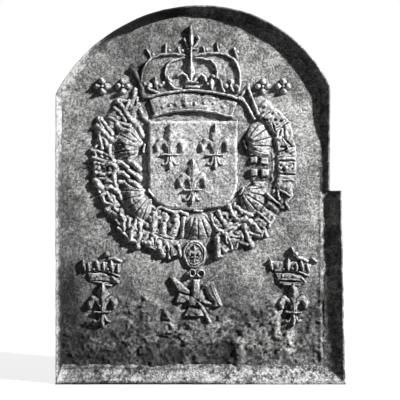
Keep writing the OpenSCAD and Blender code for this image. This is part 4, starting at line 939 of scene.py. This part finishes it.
# ---- Rosettes ----
for name, x in (
    ("outer_left_rosette", -216), ("inner_left_rosette", -167),
    ("inner_right_rosette", 167), ("outer_right_rosette", 216),
):
    r = Relief(x - 24, ROSETTE_Z - 24, x + 24, ROSETTE_Z + 24, 0.8)
    for u, v in ((0, 1), (1, 0), (0, -1), (-1, 0)):
        r.oval((x + PETAL_R * u, ROSETTE_Z + PETAL_R * v), PETAL_D, PETAL_D, PETAL_RISE, 2.2, 0.6)
    r.oval((x, ROSETTE_Z), EYE_D, EYE_D, PETAL_RISE + 0.5, 2.0, 0.6)
    r.done(name)


# ---- Back plate ----
def top_of(x):
    """Height of the arch above the hearth at x."""
    radius = np.where(x < ARCH_X, LEFT_R, RIGHT_R)
    return PLATE_H - radius + np.sqrt(np.maximum(radius**2 - (x - ARCH_X) ** 2, 0))


# The front has COLS by ROWS cells, and the back has cells COARSE times as wide
COLS, ROWS, COARSE = 328, 448, 4
u, v = np.meshgrid(np.linspace(0, 1, COLS + 1), np.linspace(0, 1, ROWS + 1))
px = LEFT_X + (RIGHT_X - LEFT_X) * u
pz = v * top_of(px)
ph = field(px, pz)
# Painted shade lies on the plate close to a relief
mask = np.zeros(px.shape)
for fx, fz, fh in Relief.footprints:
    i = np.clip(np.round((fx - LEFT_X) / (RIGHT_X - LEFT_X) * COLS).astype(int), 0, COLS)
    j = np.clip(np.round(fz / top_of(fx) * ROWS).astype(int), 0, ROWS)
    mask[j, i] = np.maximum(mask[j, i], smooth(fh / 4))
painted_shade = np.clip(1.5 * soften(mask, 10), 0, 1)
# Darker in the field's hollows and lighter on its bumps, through the material: painted shade and painted
# highlight
ridge = np.clip((ph - soften(ph, 6)) / 1.3, -1, 1)
grid = np.arange(px.size).reshape(px.shape)
front = points_at(px, -FACE - ph, pz)
rim = np.concatenate([grid[0, :-1], grid[:-1, -1], grid[-1, :0:-1], grid[:0:-1, 0]])
loop = front[rim][:, [0, 2]]
tangent = np.roll(loop, -1, 0) - np.roll(loop, 1, 0)
out = np.stack([tangent[:, 1], -tangent[:, 0]], 1) / np.linalg.norm(tangent, axis=1)[:, None]
points = [front]
faces = quads(grid[:-1, :-1], grid[:-1, 1:], grid[1:, 1:], grid[1:, :-1])
last = rim
total = len(front)
for y, inset in ((-10, 0), (-5, 0), (0, 0), (5, 0), *BACK_EDGE):
    sunk = inset + wall(loop[:, 0], y, loop[:, 1])
    here = loop - out * sunk[:, None]
    here[:, 1] = np.maximum(here[:, 1], 0)
    points.append(points_at(here[:, 0], y, here[:, 1]))
    ring = total + np.arange(len(loop))
    total += len(loop)
    faces += quads(np.roll(last, -1), last, ring, np.roll(ring, -1))
    last = ring
# The outermost cells of the back take in every point of the rim
name_of = dict(zip(rim.tolist(), last.tolist()))
inner = grid[COARSE:-1:COARSE, COARSE:-1:COARSE]
bx, bz = px[COARSE:-1:COARSE, COARSE:-1:COARSE], pz[COARSE:-1:COARSE, COARSE:-1:COARSE]
points.append(points_at(bx, 12.6 + 0.35 * noise(bx, bz, 22, 14), bz))
name_of.update(zip(inner.ravel().tolist(), range(total, total + inner.size)))
for j in range(0, ROWS, COARSE):
    for i in range(0, COLS, COARSE):
        cell = [(j, i + k) for k in range(COARSE)] + [(j + k, i + COARSE) for k in range(COARSE)]
        cell += [(j + COARSE, i + COARSE - k) for k in range(COARSE)]
        cell += [(j + COARSE - k, i) for k in range(COARSE)]
        names = [name_of[grid[p]] for p in cell if int(grid[p]) in name_of]
        faces.append(names[::-1])
marks = {"ridge": ridge.ravel(), "painted_shade": painted_shade.ravel()}
piece("back_plate", np.concatenate(points), faces, PLATE, marks)


# ---- Borders ----
def sweep(name, material, lines, tones):
    """A closed body whose profile points each follow a line of their own, from end to end."""
    lines = np.asarray(lines, float)
    grid = np.arange(lines.shape[0] * lines.shape[1]).reshape(lines.shape[:2])
    following = np.roll(grid, -1, 0)
    faces = quads(grid[:, :-1], grid[:, 1:], following[:, 1:], following[:, :-1])
    faces += [grid[:, 0], grid[:, -1][::-1]]
    h = np.clip(-lines[:, :, 1] - FACE, 0, 40)
    before, after = np.roll(lines, 1, 0), np.roll(lines, -1, 0)
    turn = np.linalg.norm(after + before - 2 * lines, axis=2)
    # Walls that face sideways are painted darker, as painted shade
    steep = np.abs((after - before)[:, :, 1]) / np.linalg.norm(after - before, axis=2)
    shade = tones(lines[:, :, 0], lines[:, :, 2]) * (1 - 0.55 * smooth((steep - 0.9) / 0.08))
    # Lighter where the crest bends (rubbed wear and painted highlight), with painted shade near the foot
    marks = {
        "ridge": np.clip(0.5 * turn * (h > 8), 0, 0.9).ravel(),
        "painted_shade": (0.7 * smooth((6 - h) / 6)).ravel(),
        "tone": shade.ravel(),
    }
    piece(name, lines.reshape(-1, 3), faces, material, marks)


def rim_tone(x, z):
    """How light the rim is: dark overall as painted shade, with painted light on the far left where the
    light falls on it, and a little lighter on the upper right.
    """
    t = 1.35 + 0.5 * smooth((x - 150) / 180) * smooth((z - 430) / 60)
    t = t + 1.3 * smooth((-70 - x) / 150) + 4.2 * smooth((-215 - x) / 80)
    # Ash on the face of the shoulder
    t = t + 1.25 * smooth((x - 296) / 8) * smooth((448 - z) / 6)
    # On the left only a narrow line along the outer edge is darkened as painted shade, and it runs out
    # towards the corner
    radius = np.where(x < ARCH_X, LEFT_R, RIGHT_R)
    inside = radius - np.hypot(x - ARCH_X, z - PLATE_H + radius)
    line = 1 - smooth((inside - 9 - 12 * smooth((x + 215) / 90)) / 5)
    t = t * (1 - 0.95 * line * smooth((x + 245) / 50) * smooth((10 - x) / 60))
    return 0.37 * t * np.clip(1 + waves(x, z, (0.4, 40, 54), (0.5, 14, 55), (0.4, 6, 69)), 0.2, 2.2)


def edge_tone(x, z):
    """How light the left border is: painted light along its outer edge, where the light falls on it, most
    of all below the arch.
    """
    bright = 1 - smooth((x - LEFT_X - 4 - 8 * smooth((z - 500) / 140) - 2 * noise(x, z, 12, 78)) / 7)
    t = 0.6 * tone(x, z) * (1 - bright) + bright * (1.2 + 0.8 * smooth((z - 250) / 300))
    return t * np.clip(1 + waves(x, z, (0.4, 20, 76), (0.4, 7, 77)), 0.4, 1.5)


def sill_tone(x, z):
    """How light the sill is: darker on the left and lighter towards the right, with painted light at its
    left end.
    """
    t = 0.5 + 0.42 * smooth((x + 330) / 560) + 0.2 * bell((x + 150) / 70) - 0.12 * bell((x - 20) / 50)
    # Lighter low on the face, and painted light on the mitre at the left end
    t = t + 0.16 * smooth((x + 230) / 60) * smooth((32 - z) / 6) + 1.2 * bell((x + 322) / 15)
    # Soot in the joint along the middle of its face, and painted shade along its lower edge
    joint = bell((z - 35 - 2 * noise(x, z, 40, 70)) / 2.6)
    t = t * (1 - 0.6 * joint * (1 - smooth((x + 30) / 60)))
    t = t * (1 - 0.85 * smooth((7 - z) / 3) * (1 - smooth((x - 50) / 50)))
    return t * np.clip(1 + waves(x, z, (0.5, 46, 56), (0.6, 13, 57), (0.65, 6, 58), (0.65, 3, 73)), 0.12, 2)


def profile(splay, rise, hollow, cells=16):
    """Points of a splayed border from its toe to its outer foot, as (share from the edge, height)."""
    crest = BORDER_CREST / splay
    pts = [(1.0, -1.5)]
    for t in np.linspace(0, 1, cells):
        pts.append((1 - t * (1 - crest), rise * (t - hollow * math.sin(math.pi * t)) - 0.3))
    pts += [(0.6 * crest, rise - 0.1), (0.25 * crest, rise - 0.4), (0.06 * crest, rise - 1.3)]
    return pts + [(0.0, rise - 3.0), (0.0, 0.6 * rise), (0.0, 0.3 * rise), (0.0, 0.0), (0.03, -1.5)]


def roughened(x, z, height, dx, dz, share):
    """A line's points with a cast surface: lower where it wears, and inside the outer wall.

    (dx, dz) points outwards. The profile's last line, at a share of 0.03, lies deeper inside.
    """
    h = np.full(x.shape, float(height))
    if height > 0:
        worn = waves(x, z, (0.5, 24, 31), (0.36, 9, 32), (0.22, 4.5, 33)) - 0.55
        h += worn * min(1, height / 4)
    sunk = np.where(share < 0.2, (1 - share / 0.2) * wall(x, -FACE - h, z), 0)
    if share == 0.03:
        sunk = sunk + 1.5
    return points_at(x - dx * sunk, -FACE - h, z - dz * sunk)


def arch_corner(edge_x, splay, radius, sign):
    """Where the arch meets a long side: the outer corner and the corner at the borders' toes."""
    x = edge_x - sign * splay
    top = math.sqrt(radius**2 - (edge_x - ARCH_X) ** 2)
    toe = math.sqrt((radius - ARCH_SPLAY) ** 2 - (x - ARCH_X) ** 2)
    return (edge_x, PLATE_H - radius + top), (x, PLATE_H - radius + toe)


def side_border(s, edge_x, splay, hollow, foot, mitre, corner, count):
    """The lines of a border along a long side, which ends in a mitre at its corner with the arch.

    Its foot is at the height foot, and by mitre higher at its toe.
    """
    (_, outer_z), (_, inner_z) = corner
    lines = []
    for share, height in profile(splay, BORDER_RISE, hollow):
        z = np.linspace(foot + mitre * share, outer_z + (inner_z - outer_z) * share, count)
        lines.append(roughened(np.full(z.shape, edge_x - s * splay * share), z, height, s, 0, share))
    return lines


LEFT_CORNER = arch_corner(LEFT_X, LEFT_SPLAY, LEFT_R, -1)
RIGHT_CORNER = arch_corner(RIGHT_X, RIGHT_SPLAY, RIGHT_R, 1)
for side, s, radius, (outer, inner) in (
    ("left", -1, LEFT_R, LEFT_CORNER), ("right", 1, RIGHT_R, RIGHT_CORNER),
):
    cz = PLATE_H - radius
    lines = []
    for share, height in profile(ARCH_SPLAY, BORDER_RISE, 0.1):
        mx, mz = outer[0] + (inner[0] - outer[0]) * share, outer[1] + (inner[1] - outer[1]) * share
        a = np.linspace(math.atan2(mz - cz, mx - ARCH_X), math.pi / 2, 220)
        rr = radius - ARCH_SPLAY * share
        dx, dz = np.cos(a), np.sin(a)
        lines.append(roughened(ARCH_X + rr * dx, cz + rr * dz, height, dx, dz, share))
    sweep(f"{side}_arch_border", RIM, lines[:: -s], rim_tone)

lines = side_border(-1, LEFT_X, LEFT_SPLAY, 0.1, 0, SILL_H, LEFT_CORNER, 330)
sweep("left_border", PLATE, lines, edge_tone)

lines = side_border(1, RIGHT_X, RIGHT_SPLAY, 0.12, SHOULDER_H, 0, RIGHT_CORNER, 130)
# The fire has worn this side down towards the shoulder
for line in lines:
    left = 0.42 + 0.58 * smooth((line[:, 2] - 545) / 130)
    line[:, 1] = np.where(line[:, 1] < -FACE, -FACE + (line[:, 1] + FACE) * left, line[:, 1])
sweep("right_border", RIM, lines[::-1], rim_tone)

# The shoulder is as deep as the plate, so its profile goes round to the back
lines = []
toe_x = FOOT_X - SHOULDER_SPLAY
sections = [p for p in profile(SHOULDER_SPLAY, SHOULDER_RISE, 0.08, 24) if p[1] > 0 or p[0] == 1.0]
for share, height in sections:
    z = np.linspace(SILL_H * share, SHOULDER_H, 230)
    edge = FOOT_X - (FOOT_X - STEP_X) * z / SHOULDER_H
    lines.append(roughened(edge * (1 - share) + toe_x * share, z, height, 1, 0, share))
z = np.linspace(0, SHOULDER_H, 230)
edge = FOOT_X - (FOOT_X - STEP_X) * z / SHOULDER_H
for y, inset in ((-13, 0), (-8, 0), (-2, 0), (4, 0), *BACK_EDGE):
    lines.append(points_at(edge - inset - wall(edge, y, z), y, z))
# Inside the plate
for y in (12.6, 0.0, -11.5):
    lines.append(points_at(320, y, z))
sweep("right_shoulder", RIM, lines[::-1], rim_tone)

# The sill, mitred at both ends, from its top edge to its foot
section = [(SILL_H, -1.5)]
for t in np.linspace(0, 1, 40):
    section.append((SILL_H - t * (SILL_H - SILL_CREST), SILL_RISE * t - 0.3))
section += [(8, SILL_RISE - 0.1), (4, SILL_RISE - 0.2), (1.2, SILL_RISE - 0.8), (0, SILL_RISE - 2.6)]
section += [(0, 15), (0, -1)]
lines = []
for at_z, height in section:
    share = at_z / SILL_H
    x = np.linspace(LEFT_X + LEFT_SPLAY * share + 0.6, FOOT_X - SHOULDER_SPLAY * share - 0.6, 460)
    z, h = np.full(x.shape, float(at_z)), np.full(x.shape, float(height))
    if height > 0:
        h += (waves(x, z, (0.8, 26, 41), (0.6, 10, 42), (0.4, 4.6, 43)) - 1.1) * min(1, height / 5)
    lines.append(points_at(x, -FACE - h, z))
sweep("hearth_sill", SILL, lines[::-1], sill_tone)


# ---- Floor, light and camera ----
def through_camera(n, shown, lit):
    """Mixes two shaders: one that the camera, glass and gloss see, and one that light meets."""
    rays = n.add("ShaderNodeLightPath").outputs
    gloss = n.math("MAXIMUM", rays["Is Glossy Ray"], rays["Is Transmission Ray"])
    seen = n.math("MAXIMUM", rays["Is Camera Ray"], gloss)
    return n.add("ShaderNodeMixShader", None, _0=seen, _1=lit, _2=shown).outputs[0]


WHITE = (1, 1, 1, 1)
FLOOR_SIZE = 12.0
material = bpy.data.materials.new("Pale_floor")
n = Nodes(material)
diffuse = n.add("ShaderNodeBsdfDiffuse", None, Color=(0.36, 0.36, 0.36, 1)).outputs[0]
glow = n.add("ShaderNodeEmission", None, Color=WHITE, Strength=0.73).outputs[0]
both = n.add("ShaderNodeAddShader", None, _0=diffuse, _1=glow).outputs[0]
plain = n.add("ShaderNodeBsdfDiffuse", None, Color=(0.08, 0.08, 0.08, 1)).outputs[0]
n.add("ShaderNodeOutputMaterial", None, Surface=through_camera(n, both, plain))
e = FLOOR_SIZE / 2
mesh = bpy.data.meshes.new("floor")
mesh.from_pydata([(-e, -e, 0), (e, -e, 0), (e, e, 0), (-e, e, 0)], [], [(0, 1, 2, 3)])
mesh.materials.append(material)
floor = bpy.data.objects.new("floor", mesh)
bpy.context.scene.collection.objects.link(floor)

world = bpy.data.worlds.new("Studio")
bpy.context.scene.world = world
n = Nodes(world)
dim = n.add("ShaderNodeBackground", None, Color=WHITE, Strength=0.02).outputs[0]
white = n.add("ShaderNodeBackground", None, Color=WHITE, Strength=1.0).outputs[0]
n.add("ShaderNodeOutputWorld", None, Surface=through_camera(n, white, dim))

# The key light rakes the plate from the upper right, and a weaker one behind shows its back
target = Vector((0.017, -0.013, 0.45))
LIGHT_DISTANCE = 8
for name, toward, energy, size in (
    ("key", Vector((0.764, -0.438, 0.476)), 1500, 0.4), ("fill", Vector((-0.42, 0.78, 0.46)), 420, 1.5),
):
    light = bpy.data.lights.new(name, "AREA")
    light.energy, light.size = energy, size
    lamp = bpy.data.objects.new(name, light)
    lamp.location = target + LIGHT_DISTANCE * toward
    lamp.rotation_euler = (-toward).to_track_quat("-Z", "Y").to_euler()
    bpy.context.scene.collection.objects.link(lamp)

# The camera looks straight at the front, in metres
CAMERA_PLACE = (0.0167, -2.67, 0.4369)
camera = bpy.data.cameras.new("camera")
camera.lens, camera.sensor_width = 100, 36
view = bpy.data.objects.new("camera", camera)
view.location = CAMERA_PLACE
view.rotation_euler = (math.radians(90), 0, 0)
bpy.context.scene.collection.objects.link(view)
bpy.context.scene.camera = view
bpy.context.scene.view_settings.view_transform = "Standard"
